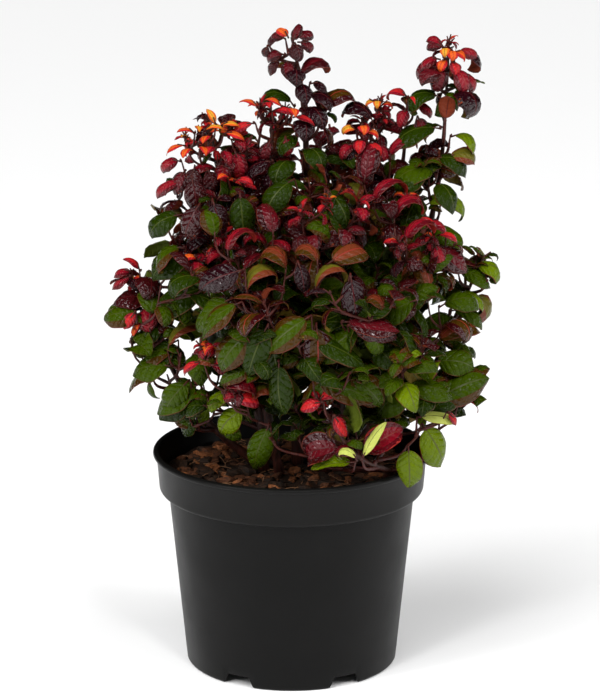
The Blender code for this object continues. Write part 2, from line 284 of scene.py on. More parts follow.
# The main stems: the points that each passes, from the compost to its tip, its thickness at its
# foot, its warmth, the size of its leaves, and how much longer they stay green
Leader = namedtuple("Leader", "points radius warmth size green")
LEADERS = {
    "spire_left": Leader(
        ((0.004, 0.006, 0.135), (0.003, 0.010, 0.240), (0.010, 0.012, 0.330),
         (0.007, 0.012, 0.395), (0, 0.012, 0.432)),
        0.0034, 0.62, 0.54, 0.10,
    ),
    "spire_right": Leader(
        ((0.034, 0, 0.135), (0.072, -0.006, 0.200), (0.090, 0, 0.290),
         (0.101, 0.012, 0.350), (0.105, 0.014, 0.430)),
        0.0028, 0.85, 0.58, 0.28,
    ),
    "upper_left": Leader(
        ((-0.008, -0.014, 0.135), (-0.024, -0.016, 0.220), (-0.042, -0.004, 0.310),
         (-0.056, 0, 0.381)),
        0.0028, 0.60, 0.66, 0.06,
    ),
    "upper_left_inner": Leader(
        ((-0.018, -0.004, 0.135), (-0.026, 0, 0.230), (-0.034, 0, 0.320),
         (-0.037, -0.004, 0.377)),
        0.0024, 0.60, 0.60, 0.06,
    ),
    "upper_inner": Leader(
        ((0.003, 0.009, 0.200), (-0.006, 0, 0.262), (-0.012, -0.002, 0.340),
         (-0.014, 0, 0.392)),
        0.0026, 0.62, 0.58, 0.10,
    ),
    "upper_middle": Leader(
        ((0.022, -0.012, 0.135), (0.040, -0.010, 0.220), (0.046, 0.004, 0.310),
         (0.048, 0.010, 0.377)),
        0.0026, 0.93, 0.64, 0.10,
    ),
    "upper_thin": Leader(
        ((0.031, 0.036, 0.172), (0.044, 0.034, 0.250), (0.056, 0.030, 0.330),
         (0.060, 0.030, 0.387)),
        0.0022, 0.75, 0.44, 0.12,
    ),
    "upper_right": Leader(
        ((0.052, -0.003, 0.168), (0.064, 0.008, 0.235), (0.074, 0.018, 0.330),
         (0.078, 0.020, 0.390)),
        0.0024, 0.60, 0.60, 0.20,
    ),
    "back_left": Leader(
        ((-0.014, 0.022, 0.135), (-0.036, 0.048, 0.220), (-0.030, 0.062, 0.300),
         (-0.020, 0.066, 0.366)),
        0.0028, 0.50, 0.70, 0.10,
    ),
    "back_right": Leader(
        ((0.020, 0.024, 0.135), (0.046, 0.052, 0.220), (0.036, 0.066, 0.300),
         (0.026, 0.070, 0.362)),
        0.0028, 0.50, 0.70, 0.10,
    ),
    "side_left": Leader(
        ((-0.018, -0.004, 0.135), (-0.060, -0.014, 0.176), (-0.084, -0.008, 0.215),
         (-0.108, -0.004, 0.272)),
        0.0026, 0.92, 0.66, 0.00,
    ),
    "side_right": Leader(
        ((0.034, 0, 0.135), (0.090, -0.008, 0.200), (0.112, -0.002, 0.245),
         (0.130, 0.001, 0.285)),
        0.0024, 0.30, 0.66, 0.10,
    ),
    "low_front": Leader(
        ((0.064, -0.020, 0.135), (0.066, -0.045, 0.147), (0.052, -0.076, 0.162),
         (0.038, -0.086, 0.176), (0.026, -0.087, 0.196), (0.018, -0.086, 0.208)),
        0.0016, 0.95, 0.40, 0.00,
    ),
}

# The shoots' tips that the photograph shows: where each is, its warmth, and the size of its leaves
Tip = namedtuple("Tip", "place warmth size")
SEEN_TIPS = (
    ((-0.071, 0, 0.368), 1.02, 0.56),
    ((-0.056, -0.006, 0.380), 1.12, 0.52),
    ((-0.041, -0.008, 0.378), 1.08, 0.56),
    ((-0.030, -0.012, 0.362), 0.78, 0.64),
    ((-0.078, -0.004, 0.334), 0.60, 0.66),
    ((-0.084, -0.004, 0.312), 0.45, 0.74),
    ((-0.021, -0.002, 0.390), 1.05, 0.54),
    ((-0.004, 0.002, 0.386), 0.86, 0.60),
    ((0.024, 0.010, 0.385), 0.60, 0.62),
    ((0.036, 0, 0.356), 0.60, 0.62),
    ((0.090, 0.006, 0.356), 0.60, 0.60),
    ((0.116, 0.010, 0.398), 0.60, 0.70),
    ((0.096, 0.008, 0.408), 0.75, 0.58),
    ((0.120, 0.008, 0.340), 0.20, 0.72),
    ((0.024, -0.050, 0.336), 0.98, 0.62),
    ((0.006, -0.056, 0.330), 0.80, 0.68),
    ((0.044, -0.040, 0.331), 0.72, 0.70),
    ((0.063, -0.028, 0.330), 0.70, 0.70),
    ((0.076, -0.026, 0.332), 0.78, 0.66),
    ((-0.064, -0.032, 0.318), 0.80, 0.60),
    ((-0.044, -0.044, 0.312), 0.93, 0.62),
    ((-0.037, -0.060, 0.298), 0.65, 0.70),
    ((-0.030, -0.034, 0.330), 0.56, 0.66),
    ((-0.012, -0.040, 0.322), 0.40, 0.70),
    ((0.012, -0.026, 0.340), 0.30, 0.70),
    ((0.034, -0.024, 0.344), 0.52, 0.66),
    ((-0.050, -0.028, 0.330), 0.56, 0.64),
    ((-0.060, -0.020, 0.340), 0.58, 0.62),
    ((-0.074, -0.030, 0.226), 0.20, 0.78),
    ((-0.084, -0.020, 0.208), 0.12, 0.84),
    ((-0.070, -0.016, 0.246), 0.35, 0.76),
    ((-0.110, -0.006, 0.270), 0.68, 0.56),
    ((0.092, 0.010, 0.334), 0.15, 0.74),
    ((0.100, 0.002, 0.318), 0.15, 0.74),
    ((0.086, -0.004, 0.346), 0.25, 0.70),
    ((0.030, -0.040, 0.262), 0.30, 0.80),
    ((0.016, -0.040, 0.240), 0.15, 0.82),
    ((0.046, -0.044, 0.238), 0.20, 0.82),
    ((-0.104, -0.020, 0.246), 0.80, 0.66),
    ((-0.100, -0.008, 0.214), 0.15, 0.80),
    ((-0.060, -0.062, 0.240), 0.92, 0.62),
    ((-0.042, -0.072, 0.240), 0.88, 0.66),
    ((-0.034, -0.076, 0.214), 0.80, 0.72),
    ((-0.056, -0.060, 0.204), 0.25, 0.80),
    ((-0.014, -0.064, 0.176), 0.10, 0.84),
    ((0.004, -0.060, 0.182), 0.10, 0.80),
    ((0.020, -0.052, 0.186), 0.10, 0.76),
    ((0.066, -0.058, 0.186), 0.10, 0.80),
    ((0.086, -0.046, 0.184), 0.10, 0.84),
    ((0.100, -0.042, 0.186), 0.45, 0.84),
    ((0.092, -0.050, 0.166), 0.15, 0.92),
    ((0.122, -0.024, 0.200), 0.12, 1.00),
    ((0.113, -0.020, 0.226), 0.25, 0.84),
    ((0.091, -0.044, 0.310), 0.80, 0.70),
    ((0.070, -0.054, 0.308), 0.78, 0.66),
    ((0.108, -0.032, 0.302), 0.76, 0.70),
    ((0.124, 0.002, 0.284), 0.25, 0.60),
    ((0.122, 0, 0.256), 0.25, 0.66),
    ((-0.018, -0.084, 0.276), 0.55, 0.80),
    ((0.025, -0.090, 0.282), 0.65, 0.80),
    ((0.051, -0.090, 0.268), 0.55, 0.84),
    ((0.068, -0.082, 0.280), 0.60, 0.78),
    ((0.004, -0.094, 0.254), 0.35, 0.86),
    ((-0.026, -0.090, 0.248), 0.30, 0.86),
    ((0.072, -0.088, 0.236), 0.25, 0.86),
    ((0.038, -0.092, 0.230), 0.25, 0.86),
)

# Leaves listed one by one, where the photograph shows them plainly: where each grows from, along
# which way, where its top faces, its length and width, its bend and roll in degrees, and its tint.
# All of them bend and roll further than their rows say, by an angle and by a factor
SHOWN_EXTRA_BEND = 36
SHOWN_ROLL_GAIN = 1.5
Shown = namedtuple("Shown", "place along face length width bend roll tint")
SHOWN_LEAVES = (
    # The red shoot over the front rim
    ((0.034, -0.086, 0.177), (-1, -0.15, 0.05), (0.1, -0.8, 0.6), 0.033, 0.024, 90, -50, "wine"),
    ((0.046, -0.085, 0.171), (0.72, -0.1, 0.68), (-0.45, -0.8, 0.3), 0.031, 0.021, 30, -70, "crimson"),
    ((0.046, -0.093, 0.170), (0.32, -0.12, 0.94), (-0.6, -0.75, 0.3), 0.028, 0.009, 20, 80, "lime"),
    ((0.043, -0.095, 0.170), (-0.35, -0.3, 0.9), (0.8, -0.5, 0.3), 0.024, 0.008, 200, 70, "lime"),
    ((0.043, -0.092, 0.171), (-0.5, -0.25, 0.8), (0.8, -0.5, 0.3), 0.026, 0.013, 190, 70, "wine"),
    ((0.042, -0.090, 0.168), (-0.97, -0.15, 0.05), (0, -0.5, 0.85), 0.027, 0.013, 1, -60, "light_green"),
    ((0.021, -0.091, 0.209), (-0.9, -0.3, 0.05), (-0.1, -0.75, 0.65), 0.017, 0.011, 60, 60, "red"),
    ((0.018, -0.087, 0.208), (0.4, -0.35, 0.85), (-0.5, -0.6, 0.6), 0.019, 0.010, 130, 60, "red"),
    ((0.018, -0.086, 0.208), (-0.3, 0.1, 0.95), (0.2, -0.9, 0.3), 0.013, 0.007, 120, 60, "red"),
    ((0.027, -0.092, 0.201), (0.62, -0.35, -0.7), (0.2, -0.85, 0.48), 0.017, 0.011, 30, 60, "red"),
    ((0.029, -0.084, 0.192), (-0.6, -0.1, 0.6), (-0.3, -0.8, 0.5), 0.018, 0.012, 120, 80, "maroon"),
    # Big green leaves over the right of the rim
    ((0.077, -0.076, 0.176), (0.05, -0.32, -0.94), (0, -0.94, 0.32), 0.032, 0.023, 40, 90, "light_green"),
    ((0.086, -0.062, 0.186), (0.6, -0.34, -0.7), (0.15, -0.85, 0.5), 0.036, 0.027, 60, 80, "light_green"),
    ((0.083, -0.062, 0.190), (0.97, -0.1, 0.25), (0, -0.45, 0.9), 0.026, 0.012, 40, 60, "lime"),
    ((0.103, -0.062, 0.194), (0.7, -0.1, -0.5), (0.3, -0.6, 0.7), 0.012, 0.007, 40, 60, "red"),
    ((0.093, -0.049, 0.197), (0.8, -0.2, 0.58), (-0.25, -0.85, 0.45), 0.044, 0.031, 50, 90, "flushed"),
    ((0.112, -0.042, 0.196), (0.95, -0.1, 0.15), (0, -0.3, 0.95), 0.018, 0.005, 90, 40, "red"),
    ((0.100, -0.036, 0.244), (0.5, -0.35, 0.8), (-0.4, 0.2, 0.9), 0.036, 0.022, 190, 80, "bronze"),
    ((0.094, -0.040, 0.222), (0.8, -0.45, 0.3), (-0.1, -0.7, 0.7), 0.030, 0.022, 70, 60, "green"),
    # Leaf that hangs over the compost in front
    ((-0.014, -0.060, 0.186), (-0.45, -0.3, -0.8), (-0.3, -0.9, 0.32), 0.038, 0.022, 50, 90, "green"),
    ((-0.030, -0.058, 0.196), (-0.8, -0.4, -0.35), (-0.2, -0.8, 0.6), 0.032, 0.021, 100, 90, "light_green"),
    # Left spire
    ((-0.004, 0.006, 0.432), (-0.9, -0.2, 0.35), (0.3, -0.4, 0.9), 0.022, 0.009, 190, 60, "maroon"),
    ((-0.015, 0.004, 0.428), (-0.5, -0.4, -0.6), (0, -0.6, 0.8), 0.011, 0.008, 100, 90, "maroon"),
    ((-0.004, 0.004, 0.432), (-0.7, -0.4, 0.6), (0.4, -0.6, 0.5), 0.013, 0.009, 120, 80, "wine"),
    ((-0.002, 0.003, 0.433), (-0.3, -0.5, 0.8), (0.2, -0.7, 0.5), 0.013, 0.009, 130, 80, "orange"),
    ((0.001, 0.003, 0.430), (0.2, -0.4, 0.9), (0, -0.8, 0.5), 0.015, 0.009, 90, 90, "wine"),
    ((0.003, 0.004, 0.432), (0.7, -0.3, 0.7), (-0.4, -0.6, 0.5), 0.017, 0.012, 130, 90, "wine"),
    ((0.004, 0.004, 0.430), (0.9, -0.4, 0.1), (0, -0.6, 0.8), 0.017, 0.011, 140, 90, "wine"),
    ((0.002, 0.002, 0.430), (0.3, -0.7, -0.3), (0, -0.5, 0.85), 0.016, 0.012, 110, 90, "maroon"),
    ((-0.004, 0.004, 0.421), (-0.8, -0.4, 0.5), (0.2, -0.5, 0.85), 0.018, 0.012, 140, 90, "wine"),
    ((-0.006, 0.004, 0.418), (-0.9, -0.4, -0.1), (0, -0.6, 0.8), 0.018, 0.012, 130, 90, "maroon"),
    ((-0.003, 0.004, 0.417), (0.1, -0.8, 0.1), (0, -0.3, 0.95), 0.018, 0.013, 130, 90, "wine"),
    ((0.006, 0.006, 0.404), (0.1, -0.15, 0.98), (-0.9, -0.5, 0.3), 0.035, 0.023, 180, 80, "wine"),
    ((0.002, 0.004, 0.408), (0.1, -0.6, 0.7), (0, 0.5, 0.8), 0.024, 0.017, 160, 80, "purple"),
    ((0.006, 0.002, 0.402), (0.2, -0.8, 0.2), (0, -0.3, 0.95), 0.022, 0.016, 120, 90, "purple"),
    ((0.012, 0.004, 0.402), (0.8, -0.4, 0.3), (-0.2, -0.4, 0.9), 0.020, 0.013, 160, 90, "purple"),
    ((0.012, 0.002, 0.394), (0.6, -0.6, 0.5), (-0.2, -0.3, 0.9), 0.026, 0.017, 150, 80, "purple"),
    ((0.010, 0.002, 0.386), (0.4, -0.7, 0.3), (0, -0.3, 0.95), 0.026, 0.018, 130, 90, "purple"),
    ((0.002, 0.006, 0.386), (-0.5, -0.2, 0.85), (0.85, -0.4, 0.5), 0.036, 0.018, 170, 70, "deep_green"),
    ((0.019, 0.004, 0.378), (0.1, -0.2, 0.97), (-0.9, -0.5, 0.2), 0.045, 0.020, 175, 70, "bronze"),
    ((0.006, 0.002, 0.376), (0.2, -0.7, 0.5), (0, 0.3, 0.95), 0.028, 0.019, 140, 80, "purple"),
    ((0.004, 0, 0.366), (-0.4, -0.7, 0.5), (0.1, -0.3, 0.9), 0.028, 0.019, 150, 80, "deep_green"),
    ((0.008, 0, 0.358), (0.45, -0.7, 0.4), (0, -0.2, 0.95), 0.030, 0.020, 140, 80, "deep_green"),
    ((0.002, -0.002, 0.350), (-0.4, -0.7, 0.4), (0, -0.2, 0.95), 0.032, 0.021, 130, 80, "deep_green"),
    # Right spire
    ((0.101, 0.006, 0.426), (-0.5, -0.2, 0.85), (0.5, -0.6, 0.5), 0.016, 0.010, 110, 80, "crimson"),
    ((0.102, 0.005, 0.426), (-0.8, -0.3, 0.5), (0.3, -0.6, 0.6), 0.016, 0.010, 110, 80, "wine"),
    ((0.103, 0.004, 0.424), (-0.2, -0.6, 0.7), (0, 0.4, 0.9), 0.013, 0.008, 150, 60, "yellow"),
    ((0.105, 0.003, 0.423), (0.2, -0.7, 0.6), (0, 0.4, 0.9), 0.014, 0.009, 150, 60, "orange"),
    ((0.107, 0.004, 0.423), (0.7, -0.5, 0.4), (-0.2, -0.3, 0.9), 0.014, 0.009, 150, 60, "orange"),
    ((0.103, 0.004, 0.418), (-0.4, -0.7, 0.2), (0, -0.3, 0.95), 0.014, 0.009, 150, 70, "orange"),
    ((0.106, 0.004, 0.417), (0.3, -0.7, 0.1), (0, -0.3, 0.95), 0.015, 0.010, 140, 70, "red"),
    ((0.109, 0.006, 0.421), (0.7, -0.3, 0.6), (-0.4, -0.4, 0.8), 0.020, 0.014, 130, 90, "crimson"),
    ((0.099, 0.006, 0.418), (-0.8, -0.4, 0.3), (0, -0.5, 0.85), 0.020, 0.014, 130, 90, "crimson"),
    ((0.102, 0.004, 0.413), (-0.3, -0.7, -0.2), (0, -0.5, 0.85), 0.022, 0.015, 120, 90, "wine"),
    ((0.108, 0.004, 0.413), (0.5, -0.7, -0.2), (0.1, -0.5, 0.85), 0.024, 0.016, 120, 90, "crimson"),
    ((0.113, 0.006, 0.409), (0.8, -0.4, -0.2), (0.1, -0.5, 0.85), 0.022, 0.014, 140, 90, "crimson"),
    ((0.107, 0.008, 0.420), (0.85, -0.1, 0.5), (-0.5, -0.5, 0.8), 0.034, 0.020, 190, 70, "purple"),
    ((0.101, 0.006, 0.415), (-0.85, -0.3, 0.2), (0, -0.5, 0.85), 0.024, 0.016, 100, 80, "wine"),
    ((0.102, 0.004, 0.407), (-0.5, -0.5, 0.65), (0.2, -0.3, 0.9), 0.026, 0.017, 150, 80, "wine"),
    ((0.100, 0.004, 0.392), (-0.75, -0.3, 0.55), (0.4, -0.4, 0.8), 0.038, 0.023, 180, 80, "deep_green"),
    ((0.105, 0.004, 0.392), (0.6, -0.4, 0.7), (-0.3, 0.3, 0.85), 0.040, 0.027, 200, 90, "purple"),
    ((0.102, -0.002, 0.376), (0.12, -0.25, 0.96), (0.1, 0.95, 0.3), 0.032, 0.014, 45, 80, "maroon"),
    ((0.100, 0.002, 0.372), (-0.9, -0.3, 0.25), (0, -0.5, 0.85), 0.038, 0.024, 90, 60, "deep_green"),
    ((0.106, 0.004, 0.366), (0.85, -0.3, 0.4), (0, -0.3, 0.95), 0.030, 0.017, 170, 70, "light_green"),
    ((0.104, 0, 0.352), (0.7, -0.35, 0.6), (-0.3, -0.5, 0.8), 0.026, 0.017, 130, 60, "arched_lime"),
    ((0.098, -0.002, 0.344), (-0.7, -0.5, 0.4), (0, -0.5, 0.85), 0.038, 0.025, 100, 60, "green"),
    ((0.088, -0.008, 0.321), (0.8, -0.25, 0.6), (-0.5, -0.45, 0.75), 0.044, 0.015, 150, 90, "light_green"),
    ((0.094, -0.006, 0.310), (-0.4, -0.6, 0.6), (0, -0.4, 0.9), 0.036, 0.025, 120, 60, "green"),
    # Greens up the right spire's stem
    ((0.095, 0, 0.352), (0.8, -0.4, 0.3), (0, -0.5, 0.85), 0.032, 0.020, 120, 90, "deep_green"),
    ((0.092, -0.002, 0.342), (-0.6, -0.6, 0.3), (0, -0.3, 0.95), 0.034, 0.022, 100, 60, "deep_green"),
    ((0.096, -0.004, 0.336), (0.4, -0.8, 0.2), (0, -0.3, 0.95), 0.032, 0.022, 110, 90, "deep_green"),
    ((0.088, -0.004, 0.326), (-0.4, -0.8, 0.1), (0, -0.3, 0.95), 0.032, 0.022, 90, 60, "deep_green"),
    ((0.094, -0.008, 0.308), (0.5, -0.8, 0.1), (0, -0.3, 0.95), 0.032, 0.022, 90, 60, "green"),
    # The sprigs between the spires
    ((0.057, 0.016, 0.387), (-0.7, -0.3, 0.5), (0.4, -0.4, 0.8), 0.013, 0.006, 190, 50, "yellow"),
    ((0.058, 0.015, 0.386), (-0.1, -0.5, 0.8), (0, 0.4, 0.9), 0.012, 0.006, 160, 50, "yellow"),
    ((0.060, 0.015, 0.385), (0.6, -0.3, 0.7), (-0.4, -0.4, 0.8), 0.012, 0.007, 160, 50, "orange"),
    ((0.060, 0.016, 0.381), (0.8, -0.4, 0.2), (0, -0.4, 0.9), 0.012, 0.007, 150, 60, "crimson"),
    ((0.055, 0.006, 0.374), (-0.3, -0.15, 0.93), (0.85, -0.5, 0.4), 0.034, 0.018, 150, 60, "purple"),
    ((0.043, 0, 0.371), (-0.5, -0.4, 0.7), (0.3, -0.3, 0.9), 0.014, 0.008, 160, 50, "yellow"),
    ((0.046, -0.001, 0.372), (0.2, -0.5, 0.8), (0, 0.4, 0.9), 0.014, 0.009, 150, 50, "orange"),
    ((0.049, 0, 0.370), (0.7, -0.4, 0.5), (0, -0.4, 0.9), 0.014, 0.009, 150, 60, "orange"),
    ((0.046, -0.002, 0.364), (-0.1, -0.7, 0.4), (0, -0.2, 0.95), 0.016, 0.010, 140, 60, "red"),
    ((0.050, -0.002, 0.363), (0.6, -0.6, 0.2), (0, -0.3, 0.95), 0.018, 0.012, 130, 60, "red"),
    ((0.042, -0.002, 0.362), (-0.6, -0.6, 0.2), (0, -0.3, 0.95), 0.018, 0.012, 130, 60, "crimson"),
    ((0.056, -0.002, 0.362), (0.7, -0.4, -0.4), (0, -0.6, 0.8), 0.018, 0.012, 120, 60, "crimson"),
    ((0.046, -0.004, 0.355), (0.1, -0.7, -0.5), (0, -0.6, 0.8), 0.024, 0.016, 90, 60, "wine"),
    ((0.078, 0.010, 0.391), (-0.5, -0.2, 0.7), (0.6, -0.5, 0.6), 0.022, 0.010, 160, 50, "red"),
    ((0.080, 0.008, 0.390), (0.3, -0.5, 0.7), (0, 0.3, 0.95), 0.016, 0.009, 150, 60, "orange"),
    ((0.082, 0.008, 0.386), (0.8, -0.4, 0.3), (0, -0.4, 0.9), 0.018, 0.012, 130, 70, "crimson"),
    ((0.078, 0.008, 0.384), (-0.4, -0.7, 0), (0, -0.4, 0.9), 0.018, 0.012, 120, 70, "crimson"),
    ((0.084, 0.006, 0.380), (0.3, -0.7, -0.4), (0, -0.5, 0.85), 0.020, 0.013, 110, 70, "wine"),
    # Leaves across the front that arch over into hooks
    ((-0.004, -0.078, 0.291), (0.15, -0.1, 1), (0.95, -0.35, 0.1), 0.036, 0.021, 190, 60, "arched"),
    ((-0.028, -0.080, 0.277), (-0.2, -0.1, 1), (-0.95, -0.35, 0.2), 0.042, 0.019, 190, 60, "arched_lime"),
    ((0.016, -0.082, 0.279), (-0.15, -0.1, 1), (-0.95, -0.35, 0.2), 0.042, 0.017, 190, 60, "arched_lime"),
    ((0.017, -0.080, 0.297), (0, -0.1, 1), (0.9, -0.4, 0.1), 0.030, 0.018, 180, 60, "arched"),
    ((0.023, -0.078, 0.298), (0.75, -0.1, 0.65), (-0.4, -0.8, 0.4), 0.036, 0.021, 100, 60, "arched"),
    ((0.032, -0.086, 0.262), (1, -0.15, 0.05), (0, -0.6, 0.8), 0.036, 0.020, 5, 50, "wine"),
    ((0.060, -0.084, 0.266), (0.1, -0.1, 1), (0.95, -0.4, 0.2), 0.024, 0.016, 160, 60, "arched"),
    ((0.096, -0.038, 0.234), (0.5, -0.1, 0.85), (-0.5, -0.6, 0.6), 0.042, 0.026, 130, 60, "arched"),
    ((0.075, -0.056, 0.306), (0, -0.1, 1), (-0.9, -0.4, 0.2), 0.036, 0.020, 170, 60, "crimson"),
    ((-0.029, -0.070, 0.199), (0.1, -0.1, 1), (-0.95, -0.35, 0.1), 0.036, 0.020, 170, 60, "arched_lime"),
    ((-0.041, -0.066, 0.300), (-0.2, -0.1, 1), (-0.9, -0.4, 0.2), 0.038, 0.019, 180, 60, "crimson"),
    ((0.066, 0, 0.350), (0, -0.1, 1), (-0.9, -0.4, 0.2), 0.034, 0.016, 160, 60, "crimson"),
    ((0.048, -0.016, 0.338), (0.15, -0.2, 0.97), (0, -0.9, 0.3), 0.030, 0.018, 60, 60, "wine"),
    ((0.055, -0.030, 0.324), (-0.1, -0.1, 1), (-0.9, -0.4, 0.3), 0.045, 0.016, 190, 50, "crimson"),
    ((0.068, -0.034, 0.314), (-0.1, -0.1, 1), (-0.9, -0.4, 0.3), 0.042, 0.016, 190, 50, "crimson"),
    # The orange and yellow tips at the upper left, and the maroon leaves below them
    ((-0.064, -0.016, 0.372), (-0.5, -0.4, 0.75), (0.4, -0.3, 0.85), 0.014, 0.006, 93, 48, "orange"),
    ((-0.062, -0.018, 0.374), (0.1, -0.5, 0.85), (0, 0.4, 0.9), 0.014, 0.0055, 93, 40, "yellow"),
    ((-0.058, -0.016, 0.374), (0.6, -0.3, 0.75), (-0.5, -0.3, 0.8), 0.015, 0.006, 93, 48, "yellow"),
    ((-0.055, -0.018, 0.368), (-0.2, -0.6, 0.7), (0, 0.4, 0.9), 0.016, 0.008, 82, 48, "orange"),
    ((-0.050, -0.016, 0.378), (-0.2, -0.4, 0.9), (0.2, -0.8, 0.5), 0.013, 0.0055, 71, 40, "yellow"),
    ((-0.047, -0.015, 0.377), (0.7, -0.3, 0.6), (-0.4, -0.4, 0.8), 0.014, 0.006, 88, 48, "yellow"),
    ((-0.045, -0.015, 0.372), (0.8, -0.3, 0.3), (-0.2, -0.4, 0.9), 0.016, 0.008, 82, 56, "orange"),
    ((-0.040, -0.014, 0.368), (0.8, -0.4, 0.1), (0, -0.5, 0.85), 0.018, 0.012, 150, 80, "crimson"),
    ((-0.070, -0.016, 0.364), (-0.8, -0.4, 0.3), (0.2, -0.3, 0.9), 0.016, 0.007, 88, 48, "orange"),
    ((-0.066, -0.018, 0.360), (-0.3, -0.6, 0.6), (0, 0.3, 0.9), 0.017, 0.008, 82, 48, "orange"),
    ((-0.061, -0.020, 0.362), (0.3, -0.6, 0.6), (0, 0.4, 0.9), 0.016, 0.008, 82, 48, "orange"),
    ((-0.052, -0.018, 0.362), (-0.2, -0.6, 0.5), (0, 0.2, 0.95), 0.017, 0.009, 77, 56, "red"),
    ((-0.046, -0.018, 0.360), (0.4, -0.6, 0.4), (0, 0.2, 0.95), 0.018, 0.012, 140, 80, "crimson"),
    ((-0.073, -0.014, 0.353), (-0.8, -0.4, 0.3), (0, -0.5, 0.85), 0.020, 0.014, 130, 90, "crimson"),
    ((-0.070, -0.016, 0.348), (-0.5, -0.6, -0.5), (0, -0.8, 0.6), 0.020, 0.015, 80, 90, "wine"),
    ((-0.038, -0.016, 0.362), (0.3, -0.4, -0.85), (0.2, -0.9, 0.3), 0.024, 0.015, 70, 80, "crimson"),
    ((-0.044, -0.018, 0.356), (-0.1, -0.4, -0.85), (0.2, -0.9, 0.3), 0.024, 0.015, 80, 90, "crimson"),
    ((-0.064, -0.020, 0.352), (-0.2, -0.6, -0.75), (-0.1, -0.8, 0.6), 0.022, 0.016, 90, 90, "maroon"),
    ((-0.056, -0.020, 0.350), (0.4, -0.5, -0.7), (0.1, -0.85, 0.5), 0.022, 0.016, 90, 90, "maroon"),
    ((-0.042, -0.022, 0.342), (-0.1, -0.5, 0.8), (0, -0.4, 0.9), 0.015, 0.006, 88, 48, "orange"),
    ((-0.038, -0.022, 0.341), (0.6, -0.5, 0.6), (0, -0.4, 0.9), 0.015, 0.007, 88, 48, "red"),
    ((-0.036, -0.020, 0.334), (-0.2, -0.4, -0.9), (0, -0.9, 0.4), 0.028, 0.019, 80, 80, "purple"),
    # The red tips between the upper left and the left spire
    ((-0.022, -0.010, 0.388), (-0.4, -0.3, 0.8), (0.3, -0.4, 0.85), 0.015, 0.007, 88, 48, "orange"),
    ((-0.018, -0.010, 0.388), (0.2, -0.5, 0.8), (0, 0.4, 0.85), 0.016, 0.008, 82, 48, "red"),
    ((-0.013, -0.010, 0.386), (0.7, -0.4, 0.5), (0, -0.4, 0.9), 0.016, 0.008, 82, 56, "red"),
    ((-0.006, -0.010, 0.388), (-0.3, -0.4, 0.8), (0.2, -0.5, 0.8), 0.015, 0.006, 88, 40, "orange"),
    ((-0.002, -0.012, 0.386), (0.3, -0.6, 0.6), (0, 0.4, 0.8), 0.016, 0.008, 82, 48, "orange"),
    ((0.001, -0.010, 0.382), (0.7, -0.4, 0.3), (0, -0.4, 0.9), 0.017, 0.008, 82, 56, "red"),
    ((-0.024, -0.010, 0.378), (-0.8, -0.3, 0.1), (0, -0.6, 0.8), 0.019, 0.009, 82, 64, "red"),
    ((-0.026, -0.010, 0.370), (-0.6, -0.4, -0.6), (0, -0.8, 0.6), 0.018, 0.009, 110, 90, "crimson"),
    ((-0.014, -0.012, 0.368), (-0.3, -0.5, -0.8), (0, -0.9, 0.4), 0.020, 0.013, 100, 90, "wine"),
    ((-0.004, -0.012, 0.370), (0.2, -0.5, -0.8), (0, -0.9, 0.4), 0.018, 0.012, 100, 90, "crimson"),
    ((-0.012, -0.010, 0.352), (-0.8, -0.4, 0.2), (0, -0.5, 0.85), 0.026, 0.018, 110, 90, "purple"),
    ((-0.008, -0.012, 0.350), (-0.4, -0.6, -0.5), (0, -0.7, 0.7), 0.024, 0.017, 100, 90, "purple"),
    # Glossy dark leaves across the front
    ((0.036, -0.088, 0.260), (0.95, -0.2, -0.05), (0.1, -0.75, 0.65), 0.032, 0.018, 20, 90, "maroon"),
    ((0.038, -0.084, 0.294), (0.15, -0.5, -0.85), (0, -0.9, 0.4), 0.034, 0.021, 60, 90, "purple"),
    ((0.004, -0.082, 0.302), (0.3, -0.4, -0.85), (0.2, -0.9, 0.3), 0.024, 0.013, 60, 80, "purple"),
    ((-0.030, -0.082, 0.296), (-0.85, -0.35, -0.1), (0.1, -0.8, 0.6), 0.034, 0.022, 60, 80, "purple"),
    ((0.096, -0.034, 0.300), (0.8, -0.4, -0.3), (0, -0.8, 0.6), 0.028, 0.019, 60, 70, "wine"),
    ((0.016, -0.088, 0.262), (0.1, -0.45, -0.88), (0.1, -0.9, 0.4), 0.034, 0.023, 70, 80, "bronze"),
    # Broad green leaves in the lower half
    ((-0.021, -0.084, 0.262), (-0.25, -0.3, -0.9), (-0.1, -0.9, 0.4), 0.034, 0.021, 80, 90, "green"),
    ((-0.014, -0.082, 0.250), (0.25, -0.25, -0.93), (0.1, -0.93, 0.3), 0.038, 0.021, 80, 100, "deep_green"),
    ((0.034, -0.080, 0.226), (-0.75, -0.35, -0.5), (-0.1, -0.85, 0.5), 0.038, 0.022, 50, 60, "flushed"),
    ((0.036, -0.080, 0.226), (0.75, -0.3, -0.45), (0.1, -0.85, 0.5), 0.036, 0.022, 60, 60, "flushed"),
    ((0.046, -0.082, 0.258), (-0.8, -0.3, -0.4), (0, -0.8, 0.6), 0.038, 0.022, 50, 70, "green"),
    ((0.082, -0.062, 0.213), (-0.8, -0.35, -0.3), (0, -0.7, 0.7), 0.034, 0.024, 50, 60, "green"),
    ((0.083, -0.066, 0.272), (-0.85, -0.35, -0.2), (0, -0.75, 0.65), 0.032, 0.020, 60, 60, "green"),
    ((-0.038, -0.078, 0.276), (-0.85, -0.35, -0.3), (-0.1, -0.75, 0.65), 0.036, 0.020, 70, 60, "green"),
    ((-0.026, -0.084, 0.256), (-0.7, -0.4, -0.5), (-0.1, -0.8, 0.6), 0.036, 0.024, 60, 70, "flushed"),
    ((-0.056, -0.058, 0.282), (-0.7, -0.3, 0.5), (0.3, -0.3, 0.9), 0.040, 0.022, 160, 70, "deep_green"),
    ((-0.070, -0.040, 0.300), (-0.8, -0.3, 0.2), (0, -0.4, 0.9), 0.034, 0.022, 150, 70, "flushed"),
